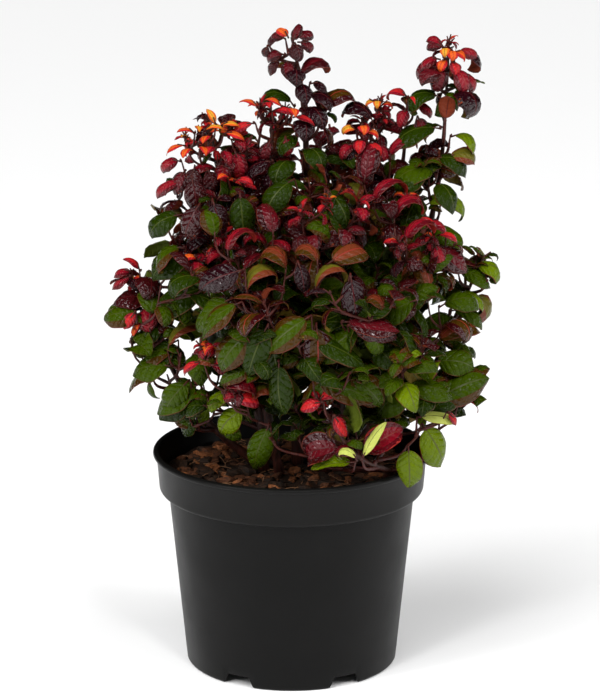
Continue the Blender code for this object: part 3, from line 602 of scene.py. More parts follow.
    ((-0.015, -0.090, 0.262), (-0.45, -0.3, -0.85), (-0.25, -0.9, 0.2), 0.038, 0.022, 30, 70, "deep_green"),
    ((0.013, -0.092, 0.268), (-0.85, -0.25, -0.45), (-0.1, -0.75, 0.65), 0.037, 0.023, 20, 60, "flushed"),
    ((0.012, -0.088, 0.252), (0.95, -0.2, -0.25), (0, -0.6, 0.8), 0.038, 0.021, 10, 60, "deep_green"),
    ((-0.008, -0.082, 0.236), (-0.1, -0.3, -0.95), (-0.4, -0.9, 0.1), 0.038, 0.022, 30, 80, "deep_green"),
    ((0.014, -0.084, 0.222), (0.95, -0.2, -0.1), (0, -0.65, 0.75), 0.040, 0.022, 15, 60, "flushed"),
    ((-0.032, -0.088, 0.276), (-0.9, -0.3, -0.3), (-0.1, -0.6, 0.8), 0.036, 0.019, 50, 60, "flushed"),
    # Round green curls at the far right
    ((0.122, -0.004, 0.277), (0.8, -0.3, 0.5), (-0.3, -0.5, 0.8), 0.033, 0.022, 190, 80, "light_green"),
    ((0.112, -0.008, 0.276), (0.9, -0.35, 0.1), (0, -0.6, 0.8), 0.026, 0.018, 70, 60, "green"),
    ((0.106, -0.012, 0.250), (0.9, -0.3, 0.25), (0, -0.5, 0.85), 0.032, 0.018, 110, 70, "green"),
    ((0.108, -0.012, 0.259), (0.9, -0.2, 0.45), (-0.4, -0.4, 0.85), 0.034, 0.017, 150, 80, "light_green"),
    # The red tips above the far right
    ((0.094, -0.038, 0.309), (0.1, -0.4, 0.9), (0.6, -0.6, 0.4), 0.018, 0.009, 120, 80, "red"),
    ((0.096, -0.038, 0.308), (0.7, -0.4, 0.5), (0, -0.4, 0.9), 0.018, 0.009, 120, 80, "red"),
    ((0.092, -0.040, 0.306), (-0.5, -0.5, 0.5), (0, -0.3, 0.95), 0.016, 0.010, 120, 80, "crimson"),
    ((0.094, -0.042, 0.304), (0.3, -0.7, -0.5), (0, -0.6, 0.8), 0.020, 0.013, 90, 80, "crimson"),
    ((0.102, -0.034, 0.303), (0.1, -0.1, 1), (0.95, -0.35, 0.1), 0.028, 0.012, 180, 70, "crimson"),
    # Glossy leaves below the tips at the upper left
    ((-0.066, -0.034, 0.348), (0.2, -0.4, -0.9), (0, -0.9, 0.4), 0.030, 0.019, 80, 90, "maroon"),
    ((-0.052, -0.050, 0.336), (0.3, -0.5, -0.8), (0, -0.85, 0.5), 0.030, 0.020, 80, 90, "purple"),
    ((-0.060, -0.046, 0.332), (-0.5, -0.5, -0.7), (0, -0.8, 0.6), 0.030, 0.020, 80, 90, "maroon"),
    ((-0.034, -0.046, 0.340), (0.1, -0.5, -0.85), (0, -0.85, 0.5), 0.034, 0.022, 70, 90, "deep_green"),
    ((-0.072, -0.036, 0.322), (-0.85, -0.4, 0), (0, -0.6, 0.8), 0.030, 0.021, 90, 80, "deep_green"),
    ((-0.050, -0.060, 0.310), (0, -0.2, 1), (0.3, -0.9, 0.2), 0.026, 0.019, 90, 90, "flushed"),
    ((-0.012, -0.060, 0.312), (0, -0.2, 1), (0.3, -0.9, 0.2), 0.028, 0.021, 90, 90, "wine"),
    ((0.002, -0.036, 0.346), (-0.6, -0.6, -0.2), (0, -0.6, 0.8), 0.034, 0.023, 90, 90, "deep_green"),
    ((0.022, -0.036, 0.340), (0.5, -0.6, -0.3), (0, -0.6, 0.8), 0.034, 0.023, 90, 90, "deep_green"),
    ((0.090, -0.044, 0.266), (0.2, -0.3, 0.93), (0.6, -0.7, 0.2), 0.034, 0.019, 100, 90, "arched"),
    ((0.098, -0.034, 0.258), (0.7, -0.3, 0.6), (-0.4, -0.6, 0.7), 0.036, 0.021, 120, 90, "green"),
    ((-0.072, -0.018, 0.340), (-0.9, -0.3, 0.1), (0, -0.5, 0.85), 0.024, 0.012, 90, 80, "crimson"),
    # Shoots at the far left
    ((-0.100, -0.010, 0.266), (0.3, -0.4, 0.86), (0, 0.5, 0.8), 0.036, 0.023, 200, 80, "maroon"),
    ((-0.104, -0.026, 0.254), (-0.5, -0.5, -0.6), (0.1, -0.8, 0.5), 0.016, 0.009, 60, 60, "red"),
    ((-0.094, -0.022, 0.236), (-0.2, -0.5, 0.85), (0, -0.9, 0.4), 0.023, 0.017, 110, 70, "crimson"),
    ((-0.106, -0.006, 0.254), (-0.8, -0.4, 0.2), (0, -0.4, 0.9), 0.028, 0.021, 120, 80, "flushed"),
    ((-0.083, -0.028, 0.226), (0.1, -0.15, 0.97), (-0.85, -0.45, 0.4), 0.042, 0.018, 150, 60, "arched_lime"),
    ((-0.076, -0.024, 0.224), (-0.95, -0.2, 0.35), (0.3, -0.45, 0.85), 0.040, 0.022, 150, 80, "flushed"),
    ((-0.056, -0.037, 0.273), (-0.85, -0.35, -0.1), (0, -0.6, 0.8), 0.040, 0.025, 50, 55, "deep_green"),
    ((-0.062, -0.032, 0.293), (-0.9, -0.3, 0.1), (0, -0.5, 0.85), 0.037, 0.025, 70, 55, "deep_green"),
    ((-0.084, -0.018, 0.240), (-0.8, -0.4, 0.1), (0, -0.6, 0.8), 0.026, 0.019, 90, 80, "deep_green"),
    ((-0.096, -0.010, 0.256), (-0.5, -0.5, 0.5), (0, -0.6, 0.8), 0.028, 0.020, 90, 60, "maroon"),
    ((-0.060, -0.036, 0.206), (-0.9, -0.3, -0.2), (-0.1, -0.7, 0.7), 0.038, 0.024, 50, 60, "green"),
    ((-0.076, -0.020, 0.232), (-0.8, -0.4, -0.3), (0, -0.6, 0.8), 0.034, 0.022, 80, 60, "deep_green"),
    ((-0.066, -0.034, 0.226), (0.2, -0.8, 0.2), (0, -0.3, 0.95), 0.032, 0.021, 110, 90, "green"),
    ((-0.068, -0.040, 0.210), (-0.6, -0.5, -0.45), (-0.1, -0.9, 0.45), 0.032, 0.022, 90, 90, "green"),
    ((-0.107, -0.010, 0.276), (-0.7, -0.4, 0.5), (0.3, -0.5, 0.8), 0.016, 0.011, 120, 80, "crimson"),
    ((-0.102, -0.010, 0.277), (-0.1, -0.4, 0.9), (0.8, -0.5, 0.3), 0.017, 0.008, 110, 80, "red"),
    ((-0.107, -0.012, 0.274), (-0.95, -0.3, -0.05), (0, -0.5, 0.85), 0.017, 0.012, 60, 80, "crimson"),
    ((-0.101, -0.022, 0.250), (-0.8, -0.4, 0.3), (0.2, -0.7, 0.6), 0.028, 0.023, 80, 80, "flushed"),
    ((-0.079, -0.030, 0.216), (-0.95, -0.2, 0.25), (0.1, -0.6, 0.75), 0.030, 0.024, 60, 70, "green"),
    ((-0.094, -0.030, 0.209), (-0.45, -0.2, -0.85), (-0.85, -0.4, 0.3), 0.020, 0.010, 100, 80, "green"),
    ((-0.062, -0.034, 0.194), (-0.97, -0.2, -0.1), (0, -0.7, 0.7), 0.032, 0.022, 50, 70, "deep_green"),
    ((-0.064, -0.032, 0.184), (-0.6, -0.3, -0.6), (0, -0.7, 0.7), 0.020, 0.015, 60, 70, "deep_green"),
    # Red claws and the crimson arch at the lower left
    ((-0.058, -0.066, 0.229), (-0.94, -0.3, 0.12), (0, -0.5, 0.85), 0.020, 0.008, 110, 70, "red"),
    ((-0.057, -0.067, 0.231), (-0.3, -0.25, 0.92), (-0.6, -0.4, 0.3), 0.017, 0.008, 170, 60, "orange"),
    ((-0.056, -0.067, 0.231), (0.5, -0.3, 0.8), (0.5, -0.5, 0.5), 0.018, 0.008, 160, 60, "red"),
    ((-0.054, -0.068, 0.228), (0.9, -0.35, 0.1), (0, -0.6, 0.8), 0.017, 0.010, 90, 70, "crimson"),
    ((-0.045, -0.072, 0.209), (0.35, -0.3, 0.88), (-0.7, -0.2, 0.6), 0.040, 0.018, 210, 60, "crimson"),
    ((-0.040, -0.074, 0.206), (0.85, -0.3, 0.3), (0, -0.8, 0.6), 0.026, 0.015, 120, 70, "red"),
)


class Value:
    """A socket that carries a number, with arithmetic that adds Math nodes."""

    def __init__(self, nodes, socket):
        self.nodes = nodes
        self.socket = socket

    def maths(self, operation, *others):
        values = dict(enumerate((self.socket, *others)))
        return Value(self.nodes, self.nodes.add("Math", {"operation": operation}, values))

    def __add__(self, other):
        return self.maths("ADD", plain(other))

    __radd__ = __add__

    def __sub__(self, other):
        return self.maths("SUBTRACT", plain(other))

    def __rsub__(self, other):
        return self.maths("MULTIPLY", -1).maths("ADD", plain(other))

    def __mul__(self, other):
        return self.maths("MULTIPLY", plain(other))

    __rmul__ = __mul__

    def __pow__(self, other):
        return self.maths("POWER", plain(other))

    def __abs__(self):
        return self.maths("ABSOLUTE")

    def sine(self):
        return self.maths("SINE")


def plain(value):
    """The socket of a Value, or the number itself."""
    return value.socket if isinstance(value, Value) else value


class Finish:
    """A material whose Principled shader takes plain values and node patterns."""

    def __init__(self, name, colour, roughness, **settings):
        self.material = bpy.data.materials.new(name)
        self.material.use_nodes = True
        self.tree = self.material.node_tree
        self.shader = self.tree.nodes["Principled BSDF"]
        self.shader.inputs["Base Color"].default_value = (*colour, 1)
        self.shader.inputs["Roughness"].default_value = roughness
        for socket, value in settings.items():
            self.shader.inputs[socket.replace("_", " ")].default_value = value

    def add(self, kind, settings, values, output=0):
        """Adds a node of a type, sets it up, and returns one of its outputs."""
        node = self.tree.nodes.new("ShaderNode" + kind)
        for setting, value in settings.items():
            setattr(node, setting, value)
        for socket, value in values.items():
            value = plain(value)
            if isinstance(value, bpy.types.NodeSocket):
                self.tree.links.new(value, node.inputs[socket])
            else:
                node.inputs[socket].default_value = value
        return node.outputs[output]

    def value(self, kind, settings, values, output=0):
        return Value(self, self.add(kind, settings, values, output))

    def place(self):
        """Object coordinates, which are metres in the row frame."""
        return self.add("TexCoord", {}, {}, "Object")

    def map_place(self):
        """The piece's own map."""
        return self.add("TexCoord", {}, {}, "UV")

    def noise(self, where, scale, detail=3.0, rough=0.5):
        values = {"Vector": where, "Scale": scale, "Detail": detail, "Roughness": rough}
        return self.value("TexNoise", {}, values, "Fac")

    def ranged(self, value, low, high, to_low, to_high):
        """A value moved from one range to another, held at its ends."""
        values = {"Value": value, "From Min": low, "From Max": high, "To Min": to_low, "To Max": to_high}
        return self.value("MapRange", {"clamp": True}, values, "Result")

    def blend(self, factor, first, second):
        """A colour between two others."""
        values = {0: factor, 6: (*first, 1), 7: (*second, 1)}
        return self.add("Mix", {"data_type": "RGBA"}, values, 2)

    def feed(self, socket, value):
        self.tree.links.new(plain(value), self.shader.inputs[socket])

    def relief(self, height, depth):
        """Bumps the surface by a height pattern, whose full range is a depth in metres."""
        values = {"Height": height, "Distance": depth, "Strength": 1.0}
        self.feed("Normal", self.add("Bump", {}, values, "Normal"))


def leaf_finish(name, colour, roughness, depth, **settings):
    """A leaf's skin, quilted between its side veins. The map runs 0 to 1 across the leaf and
    0 to 1 along it."""
    finish = Finish(name, colour, roughness, **settings)
    across = finish.value("SeparateXYZ", {}, {0: finish.map_place()}, 0)
    along = finish.value("SeparateXYZ", {}, {0: finish.map_place()}, 1)
    from_midrib = abs(across * 2 - 1)
    quilts = abs(((along * SIDE_VEINS - from_midrib * VEIN_LEAN) * math.pi).sine()) ** 0.6
    stretched = finish.add("VectorMath", {"operation": "MULTIPLY"}, {0: finish.map_place(), 1: WRINKLES})
    spacing = {"Vector": stretched, "Scale": 1.0, "Smoothness": 0.7}
    cells = finish.value("TexVoronoi", {"feature": "SMOOTH_F1"}, spacing, "Distance")
    finish.relief(quilts * 0.5 - cells * 0.5, depth)
    return finish.material


def make_leaf_materials():
    """One material for each tint of a leaf's top, its underside, its margin and its midrib. A
    top has its colour, roughness, gloss and the depth of its quilting."""
    tops = {
        "deep_green": ((0.012, 0.024, 0.0004), 0.17, 0.14, 0.0013),
        "green": ((0.029, 0.051, 0.0004), 0.18, 0.12, 0.0013),
        "light_green": ((0.092, 0.136, 0.0012), 0.20, 0.13, 0.0011),
        # The olive top, worn only by arched_lime leaves, is partly a turning leaf's own tint and partly a
        # painted highlight for an arch's top that catches the light
        "olive": ((0.090, 0.078, 0.0060), 0.28, 0.20, 0.0008),
        "bronze": ((0.044, 0.019, 0.0016), 0.18, 0.20, 0.0012),
        "maroon": ((0.031, 0.0020, 0.0030), 0.13, 0.52, 0.0014),
        "purple": ((0.013, 0.0014, 0.0030), 0.11, 0.42, 0.0014),
        "wine": ((0.078, 0.0028, 0.0060), 0.15, 0.38, 0.0010),
        "terracotta": ((0.120, 0.024, 0.0080), 0.26, 0.22, 0.0009),
        "crimson": ((0.190, 0.0036, 0.0110), 0.17, 0.32, 0.0010),
        "red": ((0.420, 0.0100, 0.0130), 0.26, 0.24, 0.0008),
        "orange": ((0.580, 0.085, 0.0080), 0.30, 0.22, 0.0006),
        "yellow": ((0.600, 0.260, 0.020), 0.32, 0.22, 0.0006),
        "lime": ((0.420, 0.460, 0.090), 0.32, 0.20, 0.0005),
    }
    made = {}
    for tint, (colour, roughness, gloss, depth) in tops.items():
        name = "leaf_top_" + tint
        made["top_" + tint] = leaf_finish(name, colour, roughness, depth, Specular_IOR_Level=gloss)
    unders = {
        "sage": (0.060, 0.080, 0.006),
        "olive": (0.130, 0.090, 0.012),
        "terracotta": (0.190, 0.034, 0.014),
        "rose": (0.300, 0.020, 0.014),
        "amber": (0.700, 0.210, 0.018),
        "pale": (0.520, 0.560, 0.180),
    }
    for tint, colour in unders.items():
        name = "leaf_under_" + tint
        made["under_" + tint] = leaf_finish(name, colour, 0.5, 0.0005, Specular_IOR_Level=0.12)
    plain_parts = {
        "margin_red": (0.110, 0.014, 0.006),
        "margin_dark": (0.060, 0.004, 0.005),
        "margin_bronze": (0.075, 0.028, 0.005),
        "midrib_pale": (0.058, 0.062, 0.008),
        "midrib_dark": (0.052, 0.004, 0.005),
        "midrib_green": (0.034, 0.046, 0.003),
        "midrib_red": (0.190, 0.016, 0.010),
    }
    for part, colour in plain_parts.items():
        made[part] = Finish("leaf_" + part, colour, 0.40, Specular_IOR_Level=0.25).material
    return made


def plastic_finish():
    """Satin black moulded plastic, faintly mottled and dusty, and paler on its collar."""
    finish = Finish("pot_plastic", (0.0034, 0.0033, 0.0032), 0.40, Specular_IOR_Level=0.13)
    where = finish.place()
    mottled = finish.ranged(finish.noise(where, 38, 4), 0.3, 0.7, 0.36, 0.47)
    finish.feed("Roughness", mottled)
    dust = finish.ranged(finish.noise(where, 14, 5, 0.6), 0.42, 0.8, 0.0, 0.35)
    height = finish.value("SeparateXYZ", {}, {0: where}, 2)
    collar_foot = POT_HEIGHT - COLLAR_DEPTH
    # The whole collar, from just below its foot upwards, is paler than the body
    collar_band = finish.ranged(height, collar_foot - 0.003, collar_foot + 0.002, 0, 0.6)
    paler = finish.blend(dust + collar_band, (0.0022, 0.0021, 0.0020), (0.0056, 0.0054, 0.0051))
    finish.feed("Base Color", paler)
    finish.relief(finish.noise(where, 900, 2), 0.00007)
    return finish.material


def compost_finish():
    """Moist dark compost, crumbly all over."""
    finish = Finish("compost", (0.018, 0.009, 0.006), 0.92, Specular_IOR_Level=0.2)
    where = finish.place()
    crumbs = finish.noise(where, 420, 5, 0.7)
    shade = finish.ranged(finish.noise(where, 160, 4), 0.35, 0.68, 0, 1)
    finish.feed("Base Color", finish.blend(shade, (0.012, 0.007, 0.005), (0.038, 0.018, 0.010)))
    finish.relief(crumbs, 0.0016)
    return finish.material


def chip_finish(name, dark, light):
    """A bark chip, streaked along its grain."""
    finish = Finish(name, light, 0.72, Specular_IOR_Level=0.3)
    where = finish.place()
    streaks = finish.add("VectorMath", {"operation": "MULTIPLY"}, {0: where, 1: (1, 1, 3)})
    grain = finish.noise(streaks, 330, 4, 0.65)
    finish.feed("Base Color", finish.blend(finish.ranged(grain, 0.35, 0.7, 0, 1), dark, light))
    finish.relief(grain, 0.0007)
    return finish.material


def bark_finish(name, dark, light):
    """A young stem's smooth skin with fine lengthwise streaks."""
    finish = Finish(name, light, 0.45, Specular_IOR_Level=0.3)
    streaks = finish.add("VectorMath", {"operation": "MULTIPLY"}, {0: finish.place(), 1: (1, 1, 0.22)})
    grain = finish.noise(streaks, 700, 4, 0.6)
    finish.feed("Base Color", finish.blend(finish.ranged(grain, 0.35, 0.7, 0, 1), dark, light))
    finish.relief(grain, 0.0004)
    return finish.material


def object_mode():
    """Leaves edit mode, where a piece is in it."""
    if bpy.context.object and bpy.context.object.mode != "OBJECT":
        bpy.ops.object.mode_set(mode="OBJECT")


def select_only(made):
    object_mode()
    bpy.ops.object.select_all(action="DESELECT")
    made.select_set(True)
    bpy.context.view_layer.objects.active = made


def apply_modifiers(made):
    """Applies all of a piece's modifiers, in their order."""
    select_only(made)
    for modifier in list(made.modifiers):
        bpy.ops.object.modifier_apply(modifier=modifier.name)


def settle(made):
    """Moves a finished piece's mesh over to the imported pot, with its object at the origin."""
    made.data.transform(Matrix.Translation(AXIS) @ made.matrix_world)
    made.matrix_world = Matrix.Identity(4)
    made.data.update()


def lathed(name, profile, steps):
    """Spins a profile, from the axis or round a hollow, about the pot's axis."""
    mesh = bpy.data.meshes.new(name)
    points = [(radius, 0, height) for radius, height in profile]
    mesh.from_pydata(points, [(i, i + 1) for i in range(len(points) - 1)], [])
    made = bpy.data.objects.new(name, mesh)
    bpy.context.scene.collection.objects.link(made)
    select_only(made)
    bpy.ops.object.mode_set(mode="EDIT")
    bpy.ops.mesh.select_all(action="SELECT")
    bpy.ops.mesh.spin(steps=steps, angle=2 * math.pi, center=(0, 0, 0), axis=(0, 0, 1))
    bpy.ops.mesh.select_all(action="SELECT")
    bpy.ops.mesh.remove_doubles(threshold=0.00001)
    bpy.ops.mesh.normals_make_consistent(inside=False)
    bpy.ops.object.mode_set(mode="OBJECT")
    return made


def arc(middle, radius, start, end, steps):
    """Points round part of a circle in a profile, angles in degrees."""
    points = []
    for step in range(steps + 1):
        angle = math.radians(start + (end - start) * step / steps)
        points.append((middle[0] + radius * math.cos(angle), middle[1] + radius * math.sin(angle)))
    return points


def body_radius(height):
    """The tapered body's outer radius at a height."""
    share = height / (POT_HEIGHT - COLLAR_DEPTH)
    return BASE_RADIUS + (BODY_TOP_RADIUS - BASE_RADIUS) * share


def pot_profile():
    """The pot's outline: up the inside, over the rounded lip, down the collar and the body."""
    floor_top = FLOOR_RAISE + FLOOR_THICKNESS
    collar_bottom = POT_HEIGHT - COLLAR_DEPTH
    lip_bottom = POT_HEIGHT - LIP_HEIGHT
    lip_round = LIP_HEIGHT / 2
    inner_round = 0.0010
    corner = COLLAR_ROUNDING
    floor_round = 0.003
    step_foot, step_head = 0.001, 0.004
    ease = 0.0006
    fillet = 0.0004
    base_flare = 0.004
    base_round = 0.0022
    points = [(0, floor_top)]
    points += [(body_radius(floor_top) - WALL - floor_round, floor_top)]
    points += [(body_radius(floor_top + floor_round) - WALL, floor_top + floor_round)]
    points += [(body_radius(collar_bottom) - WALL, collar_bottom + step_foot)]
    points += [(COLLAR_BOTTOM_RADIUS - WALL, collar_bottom + step_head)]
    inner_lip = (COLLAR_TOP_RADIUS - WALL + inner_round, POT_HEIGHT - inner_round)
    points += arc(inner_lip, inner_round, 180, 90, 3)
    points += arc((LIP_RADIUS - lip_round, POT_HEIGHT - lip_round), lip_round, 90, -70, 7)
    points += [(COLLAR_TOP_RADIUS + fillet, lip_bottom + fillet / 4)]
    points += [(COLLAR_TOP_RADIUS, lip_bottom - ease)]
    points += arc((COLLAR_BOTTOM_RADIUS - corner, collar_bottom + corner), corner, 0, -90, 6)
    points += [(body_radius(collar_bottom) + ease, collar_bottom)]
    points += [(body_radius(collar_bottom), collar_bottom - ease)]
    points += [(body_radius(height), height) for height in (0.09, 0.05, 0.014)]
    points += arc((body_radius(base_flare) - base_round, base_round), base_round, 0, -90, 4)
    points += [(BASE_RADIUS - SKIRT, 0)]
    points += [(BASE_RADIUS - SKIRT, FLOOR_RAISE), (0, FLOOR_RAISE)]
    return points


def notch_cutter(angle):
    """A block with a narrower top that cuts one gap in the pot's foot."""
    bpy.ops.mesh.primitive_cube_add(size=1, location=(0, 0, 0))
    cutter = bpy.context.object
    for corner in cutter.data.vertices:
        high = corner.co.z > 0
        width = NOTCH_WIDTH_TOP if high else NOTCH_WIDTH_BOTTOM
        reach = BASE_RADIUS - SKIRT / 2 + corner.co.x * SKIRT * 6
        corner.co = (reach, corner.co.y * width, NOTCH_HEIGHT if high else -NOTCH_HEIGHT)
    cutter.rotation_euler.z = angle
    return cutter


def drain_cutter(angle):
    """A cylinder that cuts one hole in the pot's floor."""
    place = (DRAIN_RING * math.cos(angle), DRAIN_RING * math.sin(angle), FLOOR_RAISE)
    bpy.ops.mesh.primitive_cylinder_add(
        vertices=24, radius=DRAIN_RADIUS, depth=FLOOR_THICKNESS * 6, location=place
    )
    cutter = bpy.context.object
    cutter.rotation_euler.z = angle + math.radians(8)
    return cutter


def make_pot():
    """The pot: its spun outline, cut by six notches and six drain holes, with eased edges."""
    pot = lathed("pot_shell", pot_profile(), POT_STEPS)
    cutters = []
    for number in range(NOTCH_COUNT):
        angle = 2 * math.pi * number / NOTCH_COUNT
        cutters += [notch_cutter(angle), drain_cutter(angle)]
    for cutter in cutters:
        cut = pot.modifiers.new("cut", "BOOLEAN")
        cut.operation = "DIFFERENCE"
        cut.object = cutter
    apply_modifiers(pot)
    for cutter in cutters:
        bpy.data.objects.remove(cutter)
    soften = pot.modifiers.new("soften", "BEVEL")
    soften.width = 0.0007
    soften.segments = 2
    soften.limit_method = "ANGLE"
    soften.angle_limit = math.radians(50)
    soften.use_clamp_overlap = True
    apply_modifiers(pot)
    pot.data.materials.append(plastic_finish())
    select_only(pot)
    bpy.ops.object.shade_smooth_by_angle(angle=math.radians(32))
    settle(pot)
    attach(pot, "root")
    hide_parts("pot")


def soil_height(x, y):
    """The compost's lumpy surface, a little sunken towards the wall of the pot."""
    place = Vector((x * 60, y * 60, 3.1))
    lumps = noise.noise(place) + 0.5 * noise.noise(place * 2.3)
    lumps += 0.3 * noise.noise(place * 6.1)
    edge = math.hypot(x, y) / SOIL_RADIUS
    return SOIL_TOP - SOIL_SINK + SOIL_ROUGHNESS * 0.6 * lumps - 0.002 * edge**4


def round_points(radius, count):
    """Points evenly round the pot's axis."""
    for number in range(count):
        angle = 2 * math.pi * number / count
        yield radius * math.cos(angle), radius * math.sin(angle)


def make_soil():
    """The compost bed: rings of points out from the middle, a short skirt, and a flat base."""
    points = [(0, 0, soil_height(0, 0))]
    for ring in range(1, SOIL_RINGS + 1):
        for x, y in round_points(SOIL_RADIUS * ring / SOIL_RINGS, SOIL_SPOKES):
            points.append((x, y, soil_height(x, y)))
    for x, y in round_points(SOIL_RADIUS * 0.99, SOIL_SPOKES):
        points.append((x, y, SOIL_TOP - SOIL_SKIRT))
    faces = []
    for spoke in range(SOIL_SPOKES):
        after = (spoke + 1) % SOIL_SPOKES
        faces.append((0, 1 + spoke, 1 + after))
        for ring in range(SOIL_RINGS):
            near = 1 + ring * SOIL_SPOKES
            far = near + SOIL_SPOKES
            faces.append((near + spoke, far + spoke, far + after, near + after))
    base = 1 + SOIL_RINGS * SOIL_SPOKES
    faces.append(tuple(range(base + SOIL_SPOKES - 1, base - 1, -1)))
    soil = joined_piece("compost_bed", points, faces, [compost_finish()], [0] * len(faces))
    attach(soil, "root")
    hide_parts("growing_medium")


def joined_piece(name, points, faces, materials, wear, uv=None, smooth=True):
    """One mesh from lists of points, faces and the slot that each face wears."""
    mesh = bpy.data.meshes.new(name)
    mesh.from_pydata(points, [], faces)
    for material in materials:
        mesh.materials.append(material)
    mesh.polygons.foreach_set("material_index", np.asarray(wear, np.int32))
    mesh.polygons.foreach_set("use_smooth", np.full(len(faces), smooth))
    if uv is not None:
        layer = mesh.uv_layers.new(name="OFBake")
        layer.uv.foreach_set("vector", np.asarray(uv, np.float32).ravel())
    mesh.validate()
    mesh.update()
    made = bpy.data.objects.new(name, mesh)
    bpy.context.scene.collection.objects.link(made)
    settle(made)
    return made


def soil_place(reach):
    """A random place on the compost, evenly spread."""
    radius = SOIL_RADIUS * reach * math.sqrt(dice.random())
    angle = dice.uniform(0, 2 * math.pi)
    return radius * math.cos(angle), radius * math.sin(angle)


def chip_shapes(kinds):
    """A few bark chips, each modelled once: a block whose corners are knocked about."""
    shapes = []
    for kind in range(kinds):
        bpy.ops.mesh.primitive_cube_add(size=2)
        chip = bpy.context.object
        bpy.ops.object.mode_set(mode="EDIT")
        bpy.ops.mesh.select_all(action="SELECT")
        bpy.ops.mesh.subdivide(number_cuts=1)
        bpy.ops.object.mode_set(mode="OBJECT")
        for corner in chip.data.vertices:
            shake = noise.noise_vector(corner.co * 1.3 + Vector((kind * 9.1, 0, 0)))
            corner.co += shake * 0.55
            length = corner.co.length
            corner.co *= 1.25 / max(length, 0.6) if length > 1.25 else 1
        corners = [tuple(corner.co) for corner in chip.data.vertices]
        sides = [tuple(side.vertices) for side in chip.data.polygons]
        shapes.append((corners, sides))
        bpy.data.objects.remove(chip)
    return shapes


def make_chips():
    """Bark chips strewn over the compost, mostly dark."""
    shapes = chip_shapes(6)
    finishes = [
        chip_finish("chip_dark", (0.008, 0.005, 0.003), (0.036, 0.016, 0.008)),
        chip_finish("chip_brown", (0.030, 0.011, 0.005), (0.110, 0.038, 0.014)),
        chip_finish("chip_orange", (0.080, 0.026, 0.009), (0.270, 0.092, 0.030)),
    ]
    points, faces, wear = [], [], []
    for _ in range(CHIP_COUNT):
        x, y = soil_place(CHIP_REACH)
        length = dice.triangular(*CHIP_LENGTH, CHIP_LENGTH[0] * 1.3)
        width = length * dice.uniform(*CHIP_WIDTH)
        size = Vector((length / 2, width, length * dice.uniform(*CHIP_THICKNESS)))
        if math.hypot(x, y) + length * 0.6 > SOIL_RADIUS:
            continue
        turn = Matrix.Rotation(dice.uniform(0, 2 * math.pi), 3, "Z")
        tilt = Matrix.Rotation(dice.gauss(0, 0.35), 3, "X") @ Matrix.Rotation(dice.gauss(0, 0.28), 3, "Y")
        base = len(points)
        corners, sides = dice.choice(shapes)
        lift = soil_height(x, y) + size.z * dice.uniform(0.2, 1.2)
        for corner in corners:
            stretched = Vector((corner[0] * size.x, corner[1] * size.y, corner[2] * size.z))
            moved = turn @ (tilt @ stretched)
            points.append((moved.x + x, moved.y + y, min(moved.z + lift, SOIL_TOP + CHIP_RISE)))
        kind = dice.choices((0, 1, 2), (5, 4, 2))[0]
        for side in sides:
            faces.append(tuple(base + index for index in side))
            wear.append(kind)
    chips = joined_piece("bark_chips", points, faces, finishes, wear, smooth=False)
    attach(chips, "root")


def tube(path, radii, sides, points, faces, jitter=0.0):
    """Adds a closed tube round a path of points to lists of points and faces."""
    base = len(points)
    path = [Vector(place) for place in path]
    side = None
    for index, place in enumerate(path):
        before = path[max(index - 1, 0)]
        after = path[min(index + 1, len(path) - 1)]
        along = (after - before).normalized()
        if side is None:
            side = along.orthogonal().normalized()
        side = (side - along * side.dot(along)).normalized()
        other = along.cross(side)
        for step in range(sides):
            angle = 2 * math.pi * step / sides
            ripple = 1.0
            if jitter:
                ripple += jitter * noise.noise(place * 900 + Vector((step * 5.3, 0, 0)))
            reach = radii[index] * ripple
            points.append(place + (side * math.cos(angle) + other * math.sin(angle)) * reach)
    for index in range(len(path) - 1):
        near = base + index * sides
        far = near + sides
        for step in range(sides):
            after = (step + 1) % sides
            faces.append((near + step, near + after, far + after, far + step))
    faces.append(tuple(base + step for step in range(sides - 1, -1, -1)))
    last = base + (len(path) - 1) * sides
    faces.append(tuple(last + step for step in range(sides)))


def make_fibres():
    """Thin root and bark fibres that lie on the compost."""
    points, faces = [], []
    for _ in range(FIBRE_COUNT):
        x, y = soil_place(FIBRE_REACH)
        length = dice.uniform(*FIBRE_LENGTH)
        heading = dice.uniform(0, 2 * math.pi)
        bend = dice.uniform(-2.2, 2.2)
        path = []
        for step in range(FIBRE_STEPS + 1):
            share = step / FIBRE_STEPS
            if math.hypot(x, y) > SOIL_RADIUS * 0.95:
                break
            path.append((x, y, soil_height(x, y) + 0.0012 + 0.0016 * math.sin(share * math.pi)))
            x += math.cos(heading + bend * share) * length / FIBRE_STEPS
            y += math.sin(heading + bend * share) * length / FIBRE_STEPS
        if len(path) > 2:
            tube(path, [FIBRE_RADIUS] * len(path), 4, points, faces)
    finish = Finish("fibre", (0.230, 0.110, 0.050), 0.8).material
    fibres = joined_piece("fibres", points, faces, [finish], [0] * len(faces))
    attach(fibres, "root")


def smooth_path(corners, steps):
    """A smooth curve through a few points."""
    corners = [Vector(place) for place in corners]
    full = [corners[0] * 2 - corners[1], *corners, corners[-1] * 2 - corners[-2]]
    path = []
    for part in range(len(corners) - 1):
        a, b, c, d = full[part : part + 4]
        for step in range(steps):
            t = step / steps
            squared = (2 * a - 5 * b + 4 * c - d) * t**2
            cubed = (3 * b - a - 3 * c + d) * t**3
            path.append(0.5 * (2 * b + (c - a) * t + squared + cubed))
    path.append(corners[-1])
    return path


def tapered(path, thick, thin, power=1.0):
    """A shoot's radius at each point of its path."""
    last = len(path) - 1
    return [thick * (1 - index / last) ** power + thin for index in range(len(path))]


def leader_shoots():
    """The main stems, from the points that they pass."""
    shoots = []
    for leader in LEADERS.values():
        path = smooth_path(leader.points, 9)
        radii = tapered(path, leader.radius, STEM_TIP_RADIUS, 1.1)
        shoots.append(Shoot(path, radii, True, leader.warmth, leader.size, leader.green, True))
    return shoots


